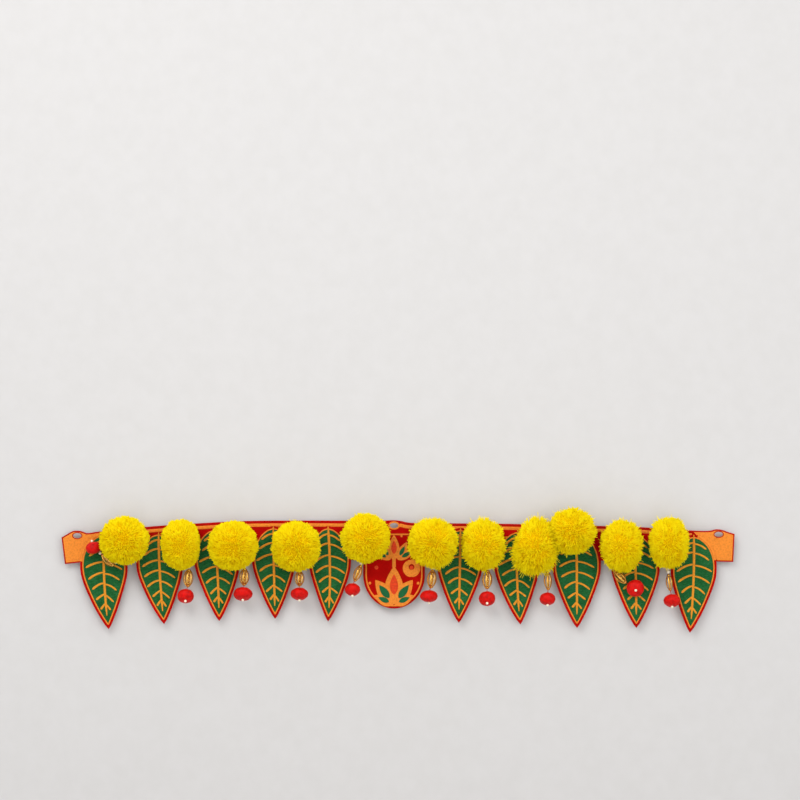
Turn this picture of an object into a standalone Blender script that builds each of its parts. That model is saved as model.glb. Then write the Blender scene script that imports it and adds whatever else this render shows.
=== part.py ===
"""Toran door hanging: a cloth band with leaf panels, a medallion, pompoms and bead drops.

X runs along the band to the right, Y runs back from the front, Z is up.
The origin is on the band's top edge, above the middle eyelet.
Tables are in millimetres; to_object turns them into metres.
"""

import math
import random

import bmesh
import bpy
from mathutils import Matrix, Vector
from mathutils.bvhtree import BVHTree

MM = 0.001
GAP = 0.3

# Cloth
BAND_THICK = 1.5
PAD_BACK_Y = -0.3
PAD_THICK = 1.6
RIDGE_HIGH = 0.4
PAD_FRONT_Y = PAD_BACK_Y - PAD_THICK
TRIM_BACK_Y = PAD_FRONT_Y - RIDGE_HIGH - GAP

# The band's top edge from left to right: x, z
BAND_TOP = (
    (-415.6, -21.5), (-408.0, -17.0), (-402.5, -13.8), (-397.4, -12.9), (-391.0, -13.6),
    (-386.0, -15.4), (-381.8, -16.0), (-366.8, -13.9), (-330.0, -10.0), (-286.3, -6.4),
    (-236.0, -3.3), (-186.3, -0.9), (-117.5, -0.3), (-61.3, -0.5), (-16.0, -0.4),
    (0.0, 0.0), (9.0, -0.9), (18.8, -2.9), (45.0, -3.6), (132.5, -4.3),
    (190.0, -5.5), (250.0, -6.9), (307.5, -8.5), (363.8, -12.3), (388.0, -13.3),
    (396.0, -12.9), (400.5, -11.6), (405.3, -11.3), (411.0, -12.2), (418.0, -14.8),
    (425.8, -17.1),
)
# The band's bottom edge from right to left: x, z
BAND_BOTTOM = (
    (424.1, -52.1), (403.8, -51.6), (265.0, -50.5), (190.0, -50.0), (115.0, -49.6),
    (0.0, -49.5), (-186.0, -49.5), (-256.0, -50.0), (-326.0, -50.5), (-392.0, -52.6),
    (-411.4, -54.8),
)
# Hanging eyelets: centre x, centre z
EYELETS = ((-396.0, -19.2), (0.0, -6.6), (405.9, -17.6))
EYELET_WIDE = 10.4
EYELET_HIGH = 6.4
RING_WIDE = 13.6
RING_HIGH = 9.8
RING_RAISED = 0.5

# Leaf panels: apex x, apex z, middle x, tip x, tip z, width
LEAVES = (
    (-362.0, -15.0, -362.5, -356.5, -136.0, 59.4),
    (-294.1, -14.5, -293.0, -287.3, -129.6, 58.0),
    (-224.3, -9.1, -221.2, -218.4, -125.9, 56.4),
    (-150.8, -6.9, -150.2, -148.4, -123.1, 54.6),
    (-82.5, -6.9, -80.2, -82.4, -126.4, 53.0),
    (83.3, -9.1, 82.4, 81.0, -128.0, 58.0),
    (154.8, -11.8, 153.6, 158.0, -130.1, 57.0),
    (228.0, -13.0, 228.4, 228.6, -134.5, 60.6),
    (300.0, -15.0, 301.8, 302.8, -134.5, 60.6),
    (374.6, -17.6, 374.6, 369.8, -140.4, 57.4),
)
# Leaf outline: share of the length from the apex, share of the greatest half width
LEAF_OUTLINE = (
    (0.02, 0.29), (0.055, 0.5), (0.10, 0.685), (0.16, 0.835), (0.22, 0.93), (0.28, 0.98),
    (0.34, 1.0), (0.42, 0.985), (0.50, 0.915), (0.58, 0.81), (0.66, 0.69), (0.74, 0.562),
    (0.82, 0.418), (0.90, 0.256), (0.96, 0.122),
)
LEAF_MIDDLE_AT = 0.38
MIDRIB_HALF = 1.6
MIDRIB_ENDS_AT = 0.87
TIP_CURL_FROM_Z = -108.0
TIP_CURL = 0.0013

# Medallion panel, U-shaped
MEDALLION_HALF = 38.5
MEDALLION_TOP_Z = -14.0
MEDALLION_CORNER = 13.0
MEDALLION_ROUND_Z = -68.0
MEDALLION_BOTTOM_Z = -110.2
MEDALLION_RIM = 3.2

# Pompom lobes: name, x, z, width, height, lock count, lock length
LOBES = (
    ("pompom_01", -335.8, -24.4, 62.0, 61.0, 21, 2.2),
    ("pompom_02", -265.8, -29.5, 49.5, 63.5, 21, 2.2),
    ("pompom_03", -200.1, -30.9, 63.5, 62.0, 21, 2.2),
    ("pompom_04", -122.0, -31.9, 61.0, 63.0, 21, 2.2),
    ("pompom_05", -35.3, -21.8, 61.0, 62.0, 21, 2.4),
    ("pompom_06", 48.3, -27.6, 62.0, 62.0, 21, 3.4),
    ("pompom_07", 111.3, -29.8, 54.0, 63.0, 21, 3.4),
    ("pompom_08", 221.3, -13.1, 59.0, 56.0, 20, 3.6),
    ("pompom_08", 176.6, -30.5, 56.0, 69.0, 22, 4.6),
    ("pompom_09", 283.6, -31.4, 52.0, 65.0, 21, 3.4),
    ("pompom_10", 342.6, -28.1, 49.0, 63.0, 21, 3.4),
)
POMPOM_DEPTH_SHARE = 0.85
POMPOM_SUNK_SHARE = 0.8
LOCK_INSET = 1.4
LOCK_FREE_Y = -11.0
LOCK_FREE_AROUND_DROP = 11.0

# Bead drops: cage top x, z, cage bottom x, z, cage width, red bead x, z, width, tilt forward
DROPS = (
    (-349.5, -56.8, -364.6, -42.6, 11.0, -374.8, -33.9, 19.4, 0.0),
    (-256.0, -60.6, -257.4, -83.2, 13.0, -259.8, -94.1, 21.0, 45.0),
    (-186.4, -59.4, -187.2, -81.4, 13.0, -188.3, -91.4, 24.0, 30.0),
    (-117.9, -62.2, -117.9, -82.2, 12.6, -117.9, -91.3, 22.0, 20.0),
    (-41.4, -55.6, -49.4, -76.2, 10.4, -51.8, -86.0, 19.4, 25.0),
    (48.3, -61.0, 46.0, -84.6, 12.4, 43.5, -94.1, 22.0, 8.0),
    (116.4, -61.6, 116.2, -85.6, 13.0, 116.0, -97.3, 21.0, 50.0),
    (191.6, -63.0, 192.4, -87.0, 10.4, 191.4, -97.6, 20.0, 25.0),
    (274.4, -62.4, 289.6, -78.2, 11.4, 301.1, -84.4, 22.0, 75.0),
    (342.2, -66.8, 344.8, -88.0, 9.0, 346.6, -99.8, 21.0, 27.0),
)
RED_BEAD_HIGH = 15.0
STOPPER_RADIUS = 1.7
CAGE_Y = -9.4
CAGE_DEPTH = 12.0
CAP_RADIUS = 2.6
CORE_RADIUS = 1.9
RIBS = 5
THREAD_RADIUS = 0.5
PEARL_RADII = (2.3, 2.1, 1.9, 1.7, 1.5, 1.3)
# Cage rib: share of the length from the middle, share of the greatest radius
CAGE_RIB = ((-0.43, 0.27), (-0.26, 0.78), (0.0, 1.0), (0.26, 0.78), (0.43, 0.27))

RED_CLOTH = (0.45, 0.006, 0.004)
GREEN_CLOTH = (0.012, 0.095, 0.028)
ORANGE_CLOTH = (0.9, 0.25, 0.06)
YELLOW_YARN = (0.93, 0.6, 0.004)
GOLD = (0.75, 0.45, 0.12)
RED_BEAD = (0.6, 0.008, 0.005)
PEARL = (0.85, 0.8, 0.7)


def clear_scene():
    for obj in list(bpy.data.objects):
        bpy.data.objects.remove(obj, do_unlink=True)


def material(name, colour, roughness, metallic):
    made = bpy.data.materials.new(name)
    made.use_nodes = True
    made.diffuse_color = (*colour, 1.0)
    surface = made.node_tree.nodes["Principled BSDF"]
    surface.inputs["Base Color"].default_value = (*colour, 1.0)
    surface.inputs["Roughness"].default_value = roughness
    surface.inputs["Metallic"].default_value = metallic
    return made


def to_object(name, bm, colour, roughness=0.8, metallic=0.0):
    """A mesh in millimetres becomes one object in metres."""
    bmesh.ops.recalc_face_normals(bm, faces=bm.faces)
    bmesh.ops.scale(bm, vec=(MM, MM, MM), verts=bm.verts)
    mesh = bpy.data.meshes.new(name)
    bm.to_mesh(mesh)
    bm.free()
    obj = bpy.data.objects.new(name, mesh)
    obj.data.materials.append(material(name + "_finish", colour, roughness, metallic))
    bpy.context.scene.collection.objects.link(obj)
    return obj


def as_helper(obj):
    obj.hide_render = True
    obj.display_type = "WIRE"
    return obj


def add_boolean(obj, other, operation):
    step = obj.modifiers.new(other.name, "BOOLEAN")
    step.operation = operation
    step.solver = "EXACT"
    step.object = as_helper(other)


def smooth_line(points, steps):
    """The points of an edge with a few more between them, on a curve through them."""
    line = []
    for i in range(len(points) - 1):
        before = points[max(i - 1, 0)]
        start = points[i]
        end = points[i + 1]
        after = points[min(i + 2, len(points) - 1)]
        for step in range(steps):
            t = step / steps
            row = []
            for axis in (0, 1):
                a = 2 * start[axis]
                b = end[axis] - before[axis]
                c = 2 * before[axis] - 5 * start[axis] + 4 * end[axis] - after[axis]
                d = 3 * start[axis] - before[axis] - 3 * end[axis] + after[axis]
                row.append(0.5 * (a + b * t + c * t * t + d * t ** 3))
            line.append(tuple(row))
    line.append(points[-1])
    return line


def prism(outline, front_y, back_y):
    """A plate with this outline in x and z."""
    bm = bmesh.new()
    front = [bm.verts.new((x, front_y, z)) for x, z in outline]
    back = [bm.verts.new((x, back_y, z)) for x, z in outline]
    bm.faces.new(front)
    bm.faces.new(back[::-1])
    for i in range(len(outline)):
        j = (i + 1) % len(outline)
        bm.faces.new((front[j], front[i], back[i], back[j]))
    return bm


def oval(x, z, wide, high, count=24):
    turn = [2 * math.pi * i / count for i in range(count)]
    return [(x + 0.5 * wide * math.cos(a), z + 0.5 * high * math.sin(a)) for a in turn]


def lathe(profile, count):
    """A turned solid about Z. The profile runs along the axis as radius, height."""
    bm = bmesh.new()
    rings = []
    for radius, height in profile:
        if radius == 0:
            rings.append([bm.verts.new((0, 0, height))])
            continue
        ring = []
        for i in range(count):
            a = 2 * math.pi * i / count
            ring.append(bm.verts.new((radius * math.cos(a), radius * math.sin(a), height)))
        rings.append(ring)
    for low, high in zip(rings, rings[1:]):
        for i in range(count):
            j = (i + 1) % count
            if len(low) == 1:
                bm.faces.new((low[0], high[j], high[i]))
            elif len(high) == 1:
                bm.faces.new((low[i], low[j], high[0]))
            else:
                bm.faces.new((low[i], low[j], high[j], high[i]))
    for ring in (rings[0], rings[-1]):
        if len(ring) > 1:
            bm.faces.new(ring)
    return bm


def placed(bm, centre, axis):
    """Turns local Z to the axis, keeping local X in the plane of the cloth."""
    up = axis.normalized()
    side = Vector((0, 1, 0)).cross(up)
    side = side.normalized() if side.length > 1e-3 else Vector((1, 0, 0))
    depth = up.cross(side)
    turn = Matrix((side, depth, up)).transposed().to_4x4()
    bmesh.ops.transform(bm, matrix=Matrix.Translation(centre) @ turn, verts=bm.verts)
    return bm


def band():
    top = smooth_line(BAND_TOP, 1)
    obj = to_object("band", prism(top + list(BAND_BOTTOM), 0.0, BAND_THICK), RED_CLOTH)
    for number, (x, z) in enumerate(EYELETS, 1):
        outline = oval(x, z, RING_WIDE, RING_HIGH)
        ring = prism(outline, -RING_RAISED, 0.5 * BAND_THICK)
        add_boolean(obj, to_object(f"ring_{number}", ring, ORANGE_CLOTH), "UNION")
    for number, (x, z) in enumerate(EYELETS, 1):
        hole = prism(oval(x, z, EYELET_WIDE, EYELET_HIGH), -3.0, 5.0)
        add_boolean(obj, to_object(f"eyelet_{number}", hole, RED_CLOTH), "DIFFERENCE")
    return obj


def leaf_centre(leaf, share):
    """The x of the midrib at a share of the length, on a curve through three points."""
    apex_x, _, middle_x, tip_x, _, _ = leaf
    m = LEAF_MIDDLE_AT
    at_apex = apex_x * (share - m) * (share - 1) / m
    at_middle = middle_x * share * (share - 1) / (m * (m - 1))
    at_tip = tip_x * share * (share - m) / (1 - m)
    return at_apex + at_middle + at_tip


def curl(z):
    below = max(0.0, TIP_CURL_FROM_Z - z)
    return -TIP_CURL * below * below


def leaf(name, row):
    """A pad with a raised midrib, and a tip that comes forward a little."""
    _, apex_z, _, _, tip_z, wide = row
    bm = bmesh.new()

    def point(share, half, y):
        z = apex_z + (tip_z - apex_z) * share
        return bm.verts.new((leaf_centre(row, share) + half, y + curl(z), z))

    fronts = [[point(0.0, 0.0, PAD_FRONT_Y)]]
    backs = [[point(0.0, 0.0, PAD_BACK_Y)]]
    for share, spread in LEAF_OUTLINE:
        half = 0.5 * wide * spread
        rib = min(MIDRIB_HALF, 0.6 * half)
        high = RIDGE_HIGH if share < MIDRIB_ENDS_AT else 0.0
        columns = ((-half, 0.0), (-rib, 0.0), (0.0, high), (rib, 0.0), (half, 0.0))
        fronts.append([point(share, x, PAD_FRONT_Y - up) for x, up in columns])
        backs.append([point(share, x, PAD_BACK_Y) for x in (-half, half)])
    fronts.append([point(1.0, 0.0, PAD_FRONT_Y)])
    backs.append([point(1.0, 0.0, PAD_BACK_Y)])
    for rows in (fronts, backs):
        for low, high in zip(rows, rows[1:]):
            if len(low) == 1:
                for i in range(len(high) - 1):
                    bm.faces.new((low[0], high[i], high[i + 1]))
            elif len(high) == 1:
                for i in range(len(low) - 1):
                    bm.faces.new((high[0], low[i + 1], low[i]))
            else:
                for i in range(len(low) - 1):
                    bm.faces.new((low[i], high[i], high[i + 1], low[i + 1]))
    for i in range(len(fronts) - 1):
        for side in (0, -1):
            edge = (fronts[i][side], fronts[i + 1][side], backs[i + 1][side], backs[i][side])
            bm.faces.new(edge)
    return to_object(name, bm, GREEN_CLOTH)


def u_outline(inset):
    """The medallion's edge, drawn in by the inset."""
    half = MEDALLION_HALF - inset
    corner = MEDALLION_CORNER - inset
    deep = MEDALLION_ROUND_Z - MEDALLION_BOTTOM_Z - inset
    line = []
    for i in range(6):
        a = 0.5 * math.pi * i / 5
        x = half - corner + corner * math.sin(a)
        line.append((x, MEDALLION_TOP_Z - MEDALLION_CORNER + corner * math.cos(a)))
    for i in range(19):
        a = math.pi * i / 18
        line.append((half * math.cos(a), MEDALLION_ROUND_Z - deep * math.sin(a)))
    for i in range(6):
        a = 0.5 * math.pi * (5 - i) / 5
        x = -half + corner - corner * math.sin(a)
        line.append((x, MEDALLION_TOP_Z - MEDALLION_CORNER + corner * math.cos(a)))
    return line


def medallion():
    """A pad whose middle stands above its border by the height of the stitching."""
    bm = bmesh.new()
    levels = ((0.0, PAD_BACK_Y), (0.0, PAD_FRONT_Y), (MEDALLION_RIM, PAD_FRONT_Y))
    levels += ((MEDALLION_RIM + 0.4, PAD_FRONT_Y - RIDGE_HIGH),)
    loops = []
    for inset, y in levels:
        loops.append([bm.verts.new((x, y, z)) for x, z in u_outline(inset)])
    bm.faces.new(loops[0])
    bm.faces.new(loops[-1][::-1])
    for low, high in zip(loops, loops[1:]):
        for i in range(len(low)):
            j = (i + 1) % len(low)
            bm.faces.new((low[i], low[j], high[j], high[i]))
    return to_object("medallion", bm, ORANGE_CLOTH)


def near_drop(point, drop):
    """Whether the point is where this drop's beads and thread are."""
    top = Vector((drop[0], CAGE_Y, drop[1]))
    low = Vector((drop[2], CAGE_Y, drop[3]))
    along = low - top
    share = max(-0.4, min(1.2, (point - top).dot(along) / along.length_squared))
    return (point - top - along * share).length < LOCK_FREE_AROUND_DROP


def lobe(row, drop, back_y, keep_from, seed):
    """A yarn ball with a flat back and some locks of yarn standing out of it."""
    _, x, z, wide, high, locks, length = row
    rng = random.Random(seed)
    bm = bmesh.new()
    bmesh.ops.create_icosphere(bm, subdivisions=3, radius=1.0)
    deep = 0.5 * wide * POMPOM_DEPTH_SHARE
    centre = Vector((x, back_y - POMPOM_SUNK_SHARE * deep, z))
    for vert in bm.verts:
        swell = 1.0 + rng.uniform(-0.022, 0.012)
        co = vert.co * swell
        vert.co = centre + Vector((co.x * 0.5 * wide, co.y * deep, co.z * 0.5 * high))
    faces = list(bm.faces)
    rng.shuffle(faces)
    chosen = []
    taken = set()
    for face in faces:
        middle = face.calc_center_median()
        if len(chosen) == locks:
            break
        if middle.y > LOCK_FREE_Y or near_drop(middle, drop):
            continue
        if keep_from and (middle - keep_from[0]).length < keep_from[1]:
            continue
        if taken & {vert.index for vert in face.verts}:
            continue
        taken |= {vert.index for vert in face.verts}
        chosen.append(face)
    bmesh.ops.inset_individual(bm, faces=chosen, thickness=LOCK_INSET, depth=0.0)
    for face in chosen:
        out = (face.calc_center_median() - centre).normalized()
        tip = out * length * rng.uniform(0.8, 1.15)
        poked = bmesh.ops.poke(bm, faces=[face])
        for vert in poked["verts"]:
            vert.co += tip
    for vert in bm.verts:
        vert.co.y = min(vert.co.y, back_y)
    return bm


def tree_of(bm):
    bmesh.ops.recalc_face_normals(bm, faces=bm.faces)
    return BVHTree.FromBMesh(bm)


def pompoms():
    """Makes the pompoms and returns their lobes' trees by name."""
    trees = {}
    made = {}
    for seed, row in enumerate(LOBES):
        name = row[0]
        drop = DROPS[int(name[-2:]) - 1]
        second = name in made
        back_y = TRIM_BACK_Y - (0.3 if second else 0.0)
        other = None
        if name == "pompom_08":
            partner = LOBES[seed + (-1 if second else 1)]
            other = (Vector((partner[1], -22.0, partner[2])), 0.5 * partner[4] + 7.0)
        bm = lobe(row, drop, back_y, other, 100 + seed)
        trees.setdefault(name, []).append(tree_of(bm))
        if second:
            helper = to_object(name + "_side", bm, YELLOW_YARN)
            add_boolean(made[name], helper, "UNION")
        else:
            made[name] = to_object(name, bm, YELLOW_YARN, roughness=0.95)
    return trees


def red_bead(number, row):
    """An oblate bead with the thread's stopper bead at its free end."""
    _, _, _, _, _, x, z, wide, tilt = row
    half = 0.5 * RED_BEAD_HIGH
    profile = [(0.0, half)]
    for i in range(1, 7):
        a = math.pi * i / 7
        profile.append((0.5 * wide * math.sin(a), half * math.cos(a)))
    profile += [(0.75 * STOPPER_RADIUS, -half - 0.1)]
    profile += [(STOPPER_RADIUS, -half - 1.1), (0.75 * STOPPER_RADIUS, -half - 2.2)]
    profile += [(0.0, -half - 2.7)]
    lean = math.radians(tilt)
    axis = Vector((0.0, math.sin(lean), math.cos(lean)))
    if number == 1:
        axis = Vector((0.2, 0.1, -0.97)).normalized()
    reach = math.hypot(0.5 * wide * math.cos(lean), half * math.sin(lean))
    centre = Vector((x, TRIM_BACK_Y - GAP - reach, z))
    bm = placed(lathe(profile[::-1], 12), centre, axis)
    tree = tree_of(bm)
    to_object(f"red_bead_{number:02d}", bm, RED_BEAD, roughness=0.6)
    return tree


def clear_of(trees, point, radius):
    return min(tree.find_nearest(point)[3] for tree in trees) >= radius + GAP


def thread_length(trees, start, way, most):
    """How far a thread can run this way before it meets a body."""
    hits = [tree.ray_cast(start, way)[3] for tree in trees]
    hits = [hit for hit in hits if hit is not None]
    length = min(hits + [most]) - GAP
    while length > 0 and not clear_of(trees, start + way * length, THREAD_RADIUS):
        length -= 0.1
    return length


def rib_tube(angle, length, radius):
    """One curved rib of the cage, three-sided, closed at both ends."""
    bm = bmesh.new()
    rings = []
    for along, out in CAGE_RIB:
        r = radius * out
        ring = []
        for dr, side in ((-0.5, -0.75), (-0.5, 0.75), (0.5, 0.0)):
            across = Vector((-math.sin(angle), math.cos(angle), 0)) * side
            outward = Vector((math.cos(angle), math.sin(angle), 0)) * (r + dr)
            ring.append(bm.verts.new(outward + across + Vector((0, 0, along * length))))
        rings.append(ring)
    for low, high in zip(rings, rings[1:]):
        for i in range(3):
            j = (i + 1) % 3
            bm.faces.new((low[i], low[j], high[j], high[i]))
    bm.faces.new(rings[0][::-1])
    bm.faces.new(rings[-1])
    return bm


def merged(meshes):
    """Separate closed shells in one mesh."""
    out = bmesh.new()
    for bm in meshes:
        copied = {vert: out.verts.new(vert.co) for vert in bm.verts}
        for face in bm.faces:
            out.faces.new([copied[vert] for vert in face.verts])
        bm.free()
    return out


def cage(number, row, red_tree, pompom_trees):
    """A gold openwork bead: two cups, ribs between them and a beaded core."""
    top = Vector((row[0], CAGE_Y, row[1]))
    low = Vector((row[2], CAGE_Y, row[3]))
    wide = row[4]
    axis = (top - low).normalized()
    length = (top - low).length
    half = 0.5 * length
    tail = max(0.0, min(7.0, thread_length([red_tree], low, -axis, 7.0)))
    profile = []
    if number == 1:
        start = half + 2.9
        profile += [(THREAD_RADIUS, -start - 1.1), (1.2, -start - 0.8), (1.9, -start + 0.6)]
        profile += [(1.2, -start + 2.0), (THREAD_RADIUS, -start + 2.3)]
    elif tail > 0.3:
        profile += [(THREAD_RADIUS, -half - tail), (THREAD_RADIUS, -half)]
    profile += [(0.6 * CAP_RADIUS, -half), (CAP_RADIUS, -half + 0.9), (CAP_RADIUS, -half + 2.4)]
    profile += [(0.9, -half + 2.6)]
    room = length - 5.2
    for bead in range(2):
        middle = -0.5 * room + room * (bead + 0.5) / 2
        profile += [(CORE_RADIUS, middle), (0.9, middle + room / 4)]
    profile += [(CAP_RADIUS, half - 2.4), (CAP_RADIUS, half - 0.9), (0.6 * CAP_RADIUS, half)]
    core = lathe(profile, 6)
    ribs = [rib_tube(2 * math.pi * i / RIBS, length, 6.0) for i in range(RIBS)]
    ribs = merged(ribs)
    for bm in (core, ribs):
        share = (wide / 12.0, CAGE_DEPTH / 12.0, 1.0)
        if bm is ribs:
            bmesh.ops.scale(bm, vec=share, verts=bm.verts)
        placed(bm, 0.5 * (top + low), axis)
    core_tree = tree_of(core)
    name = f"cage_{number:02d}"
    obj = to_object(name, core, GOLD, roughness=0.25, metallic=1.0)
    add_boolean(obj, to_object(name + "_ribs", ribs, GOLD), "UNION")
    way = Vector((0.0, 0.0, 1.0))
    start = top
    if number == 1:
        way = Vector((0.39, 0.0, 0.92)).normalized()
        aside = (way - axis * way.dot(axis)).normalized()
        start = top - axis * 0.6 + aside * CAP_RADIUS
    while not clear_of([core_tree], start, THREAD_RADIUS):
        start = start + way * 0.1
    if (start - top).length < 1.0:
        start = top + way * GAP
    pearls(number, start, way, pompom_trees, core_tree)


def pearls(number, start, way, trees, core_tree):
    """Pearls on the drop's thread, from the cage up to the pompom."""
    length = thread_length(trees, start, way, 30.0)
    profile = [(THREAD_RADIUS, 0.0)]
    bodies = trees + [core_tree]
    at = 0.0
    while at + 2 * PEARL_RADII[-1] < length and len(profile) < 20:
        fits = [r for r in PEARL_RADII if at + 2 * r < length]
        fits = [r for r in fits if clear_of(bodies, start + way * (at + r), r)]
        if not fits:
            at += 0.2
            continue
        r = fits[0]
        for angle in (25, 65, 115, 155):
            a = math.radians(angle)
            profile.append((r * math.sin(a), at + r - r * math.cos(a)))
        at += 2 * r + 0.2
    profile.append((THREAD_RADIUS, length))
    print(f"pearls_{number:02d}: room {length:.2f}, beads {(len(profile) - 2) // 4}")
    bm = placed(lathe(profile, 8), start, way)
    to_object(f"pearls_{number:02d}", bm, PEARL, roughness=0.25)


def main():
    clear_scene()
    band()
    for number, row in enumerate(LEAVES, 1):
        leaf(f"leaf_{number:02d}", row)
    medallion()
    trees = pompoms()
    for number, row in enumerate(DROPS, 1):
        cage(number, row, red_bead(number, row), trees[f"pompom_{number:02d}"])


main()
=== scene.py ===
"""Dresses the toran door hanging: stitched cloth, yarn pompoms and bead drops."""

import math

import bmesh
import bpy
import numpy as np
from mathutils import Matrix, Vector, noise


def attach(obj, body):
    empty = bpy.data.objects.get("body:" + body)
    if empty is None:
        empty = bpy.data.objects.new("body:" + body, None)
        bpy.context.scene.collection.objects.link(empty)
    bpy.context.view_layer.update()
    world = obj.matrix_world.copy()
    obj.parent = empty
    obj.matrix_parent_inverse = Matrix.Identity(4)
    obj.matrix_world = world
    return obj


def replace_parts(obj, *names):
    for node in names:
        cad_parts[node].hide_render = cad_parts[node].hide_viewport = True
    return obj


bl_info = {
    "name": "Toran Door Hanging",
    "version": (1, 0, 0),
    "blender": (4, 5, 0),
    "location": "View3D > Sidebar > Toran",
    "description": "Builds a cloth door hanging with leaf panels, pompoms and bead drops",
    "category": "Add Mesh",
}

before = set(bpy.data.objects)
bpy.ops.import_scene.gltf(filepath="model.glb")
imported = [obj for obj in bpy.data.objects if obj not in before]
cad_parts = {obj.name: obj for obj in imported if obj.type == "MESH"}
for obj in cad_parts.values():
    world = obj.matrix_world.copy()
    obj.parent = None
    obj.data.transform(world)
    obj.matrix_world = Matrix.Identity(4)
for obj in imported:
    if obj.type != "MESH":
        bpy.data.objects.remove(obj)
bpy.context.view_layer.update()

MM = 0.001

# Depths of the layers, front is negative
BAND_FRONT_Y = 0.0
BAND_BACK_Y = 1.5
LEAF_BACK_Y = -0.3
LEAF_CLOTH_Y = -1.3
LEAF_FILL_Y = -1.75
POMPOM_BACK_Y = -2.6
CAGE_Y = -9.4
SEWN_IN = 0.2

# How hanging cloth lifts and curls below the band
FREE_FROM_Z = -58.0
FREE_OVER = 40.0
TIP_CURL_FROM_Z = -108.0
TIP_CURL = 0.0013

# The band's top edge from left to right: x, z
BAND_TOP = (
    (-415.6, -21.5), (-408.0, -17.0), (-402.5, -13.8), (-397.4, -12.9), (-391.0, -13.6),
    (-386.0, -15.4), (-381.8, -16.0), (-366.8, -13.9), (-330.0, -10.0), (-286.3, -6.4),
    (-236.0, -3.3), (-186.3, -0.9), (-117.5, -0.3), (-61.3, -0.5), (-16.0, -0.4),
    (0.0, 0.0), (9.0, -0.9), (18.8, -2.9), (45.0, -3.6), (132.5, -4.3),
    (190.0, -5.5), (250.0, -6.9), (307.5, -8.5), (363.8, -12.3), (388.0, -13.3),
    (396.0, -12.9), (400.5, -11.6), (405.3, -11.3), (411.0, -12.2), (418.0, -14.8),
    (425.8, -17.1),
)
# The band's bottom edge from right to left: x, z
BAND_BOTTOM = (
    (424.1, -52.1), (403.8, -51.6), (265.0, -50.5), (190.0, -50.0), (115.0, -49.6),
    (0.0, -49.5), (-186.0, -49.5), (-256.0, -50.0), (-326.0, -50.5), (-392.0, -52.6),
    (-411.4, -54.8),
)
# Hanging eyelets: centre x, centre z
EYELETS = ((-396.0, -19.2), (0.0, -6.6), (405.9, -17.6))
EYELET_WIDE = 10.4
EYELET_HIGH = 6.4
RING_WIDTHS = (1.3, 2.0, 1.3)
# Stitched stripe and red edge: runs in x, depth below the top edge, width, height
STRIPE_RUNS = ((-362.0, -5.8), (5.8, 374.0))
STRIPE_BELOW, STRIPE_WIDE, STRIPE_RAISED = 5.5, 4.2, 0.28
EDGE_RUNS = ((-411.0, -7.0), (7.0, 421.0))
EDGE_BELOW, EDGE_WIDE, EDGE_RAISED = 1.2, 1.9, 0.22
# End tabs: inset from the edge, inner end, middle, front
TAB_INSET = 1.7
TAB_FROM_X = 364.0
TAB_MIDDLE = (392.0, -35.0)
TAB_FRONT_Y = -0.25

# Small red gaps in the end tabs' stitching: x, z
TAB_MARKS = (
    ((396.8, -26.6), (399.4, -28.6), (402.8, -29.6), (406.2, -29.4), (409.2, -28.4)),
    ((386.0, -23.6), (386.5, -24.1), (387.0, -24.6)),
    ((402.6, -33.6), (403.1, -33.9), (403.6, -34.1)),
    ((-399.8, -28.4), (-399.2, -28.7), (-398.6, -28.8)),
    ((-395.0, -30.2), (-394.4, -30.4), (-393.8, -30.5)),
    ((-391.0, -27.2), (-390.4, -27.3), (-389.8, -27.2)),
)

# Leaf panels: apex x, apex z, middle x, tip x, tip z, width
LEAVES = (
    (-362.0, -15.0, -362.5, -356.5, -136.0, 59.4),
    (-294.1, -14.5, -293.0, -287.3, -129.6, 58.0),
    (-224.3, -9.1, -221.2, -218.4, -125.9, 56.4),
    (-150.8, -6.9, -150.2, -148.4, -123.1, 54.6),
    (-82.5, -6.9, -80.2, -82.4, -126.4, 53.0),
    (83.3, -9.1, 82.4, 81.0, -128.0, 58.0),
    (154.8, -11.8, 153.6, 158.0, -130.1, 57.0),
    (228.0, -13.0, 228.4, 228.6, -134.5, 60.6),
    (300.0, -15.0, 301.8, 302.8, -134.5, 60.6),
    (374.6, -17.6, 374.6, 369.8, -140.4, 57.4),
)
# Leaf outline: share of the length from the apex, share of the greatest half width
LEAF_OUTLINE = (
    (0.0, 0.0), (0.02, 0.29), (0.055, 0.5), (0.10, 0.685), (0.16, 0.835), (0.22, 0.93),
    (0.28, 0.98), (0.34, 1.0), (0.42, 0.985), (0.50, 0.915), (0.58, 0.81), (0.66, 0.69),
    (0.74, 0.562), (0.82, 0.418), (0.90, 0.256), (0.96, 0.122), (1.0, 0.0),
)
LEAF_MIDDLE_AT = 0.38
# Veins: joint as a share of the length, half span, drop of the free end
VEINS = (
    (0.085, 15.5, 7.4), (0.182, 19.0, 7.8), (0.305, 22.5, 8.0), (0.415, 20.0, 8.0),
    (0.525, 15.8, 8.0), (0.635, 10.8, 7.8), (0.735, 6.0, 7.0),
)
MIDRIB_ENDS_AT = 0.855
MIDRIB_WIDTHS = (3.5, 2.9)
MIDRIB_RAISED = 0.55
VEIN_START_WIDE = 2.3
VEIN_END_WIDE = {-1: 3.3, 1: 2.5}
VEIN_RAISED = 0.5
# Insets of the leaf's stitching from its edge
LEAF_FILL_INSET = 4.4
LEAF_LINE_INSET = 2.8
PANEL_RIM = 0.35
PANEL_CUTS = 6.0
LINE_RAISED = 0.75
# Orange stitching over the red edge where the end leaves meet the tabs
TAB_LEAVES = {1: -1, 10: 1}
COVER_INSET = 1.35
COVER_WIDE = 2.9
COVER_ABOVE_Z = -52.0

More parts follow.
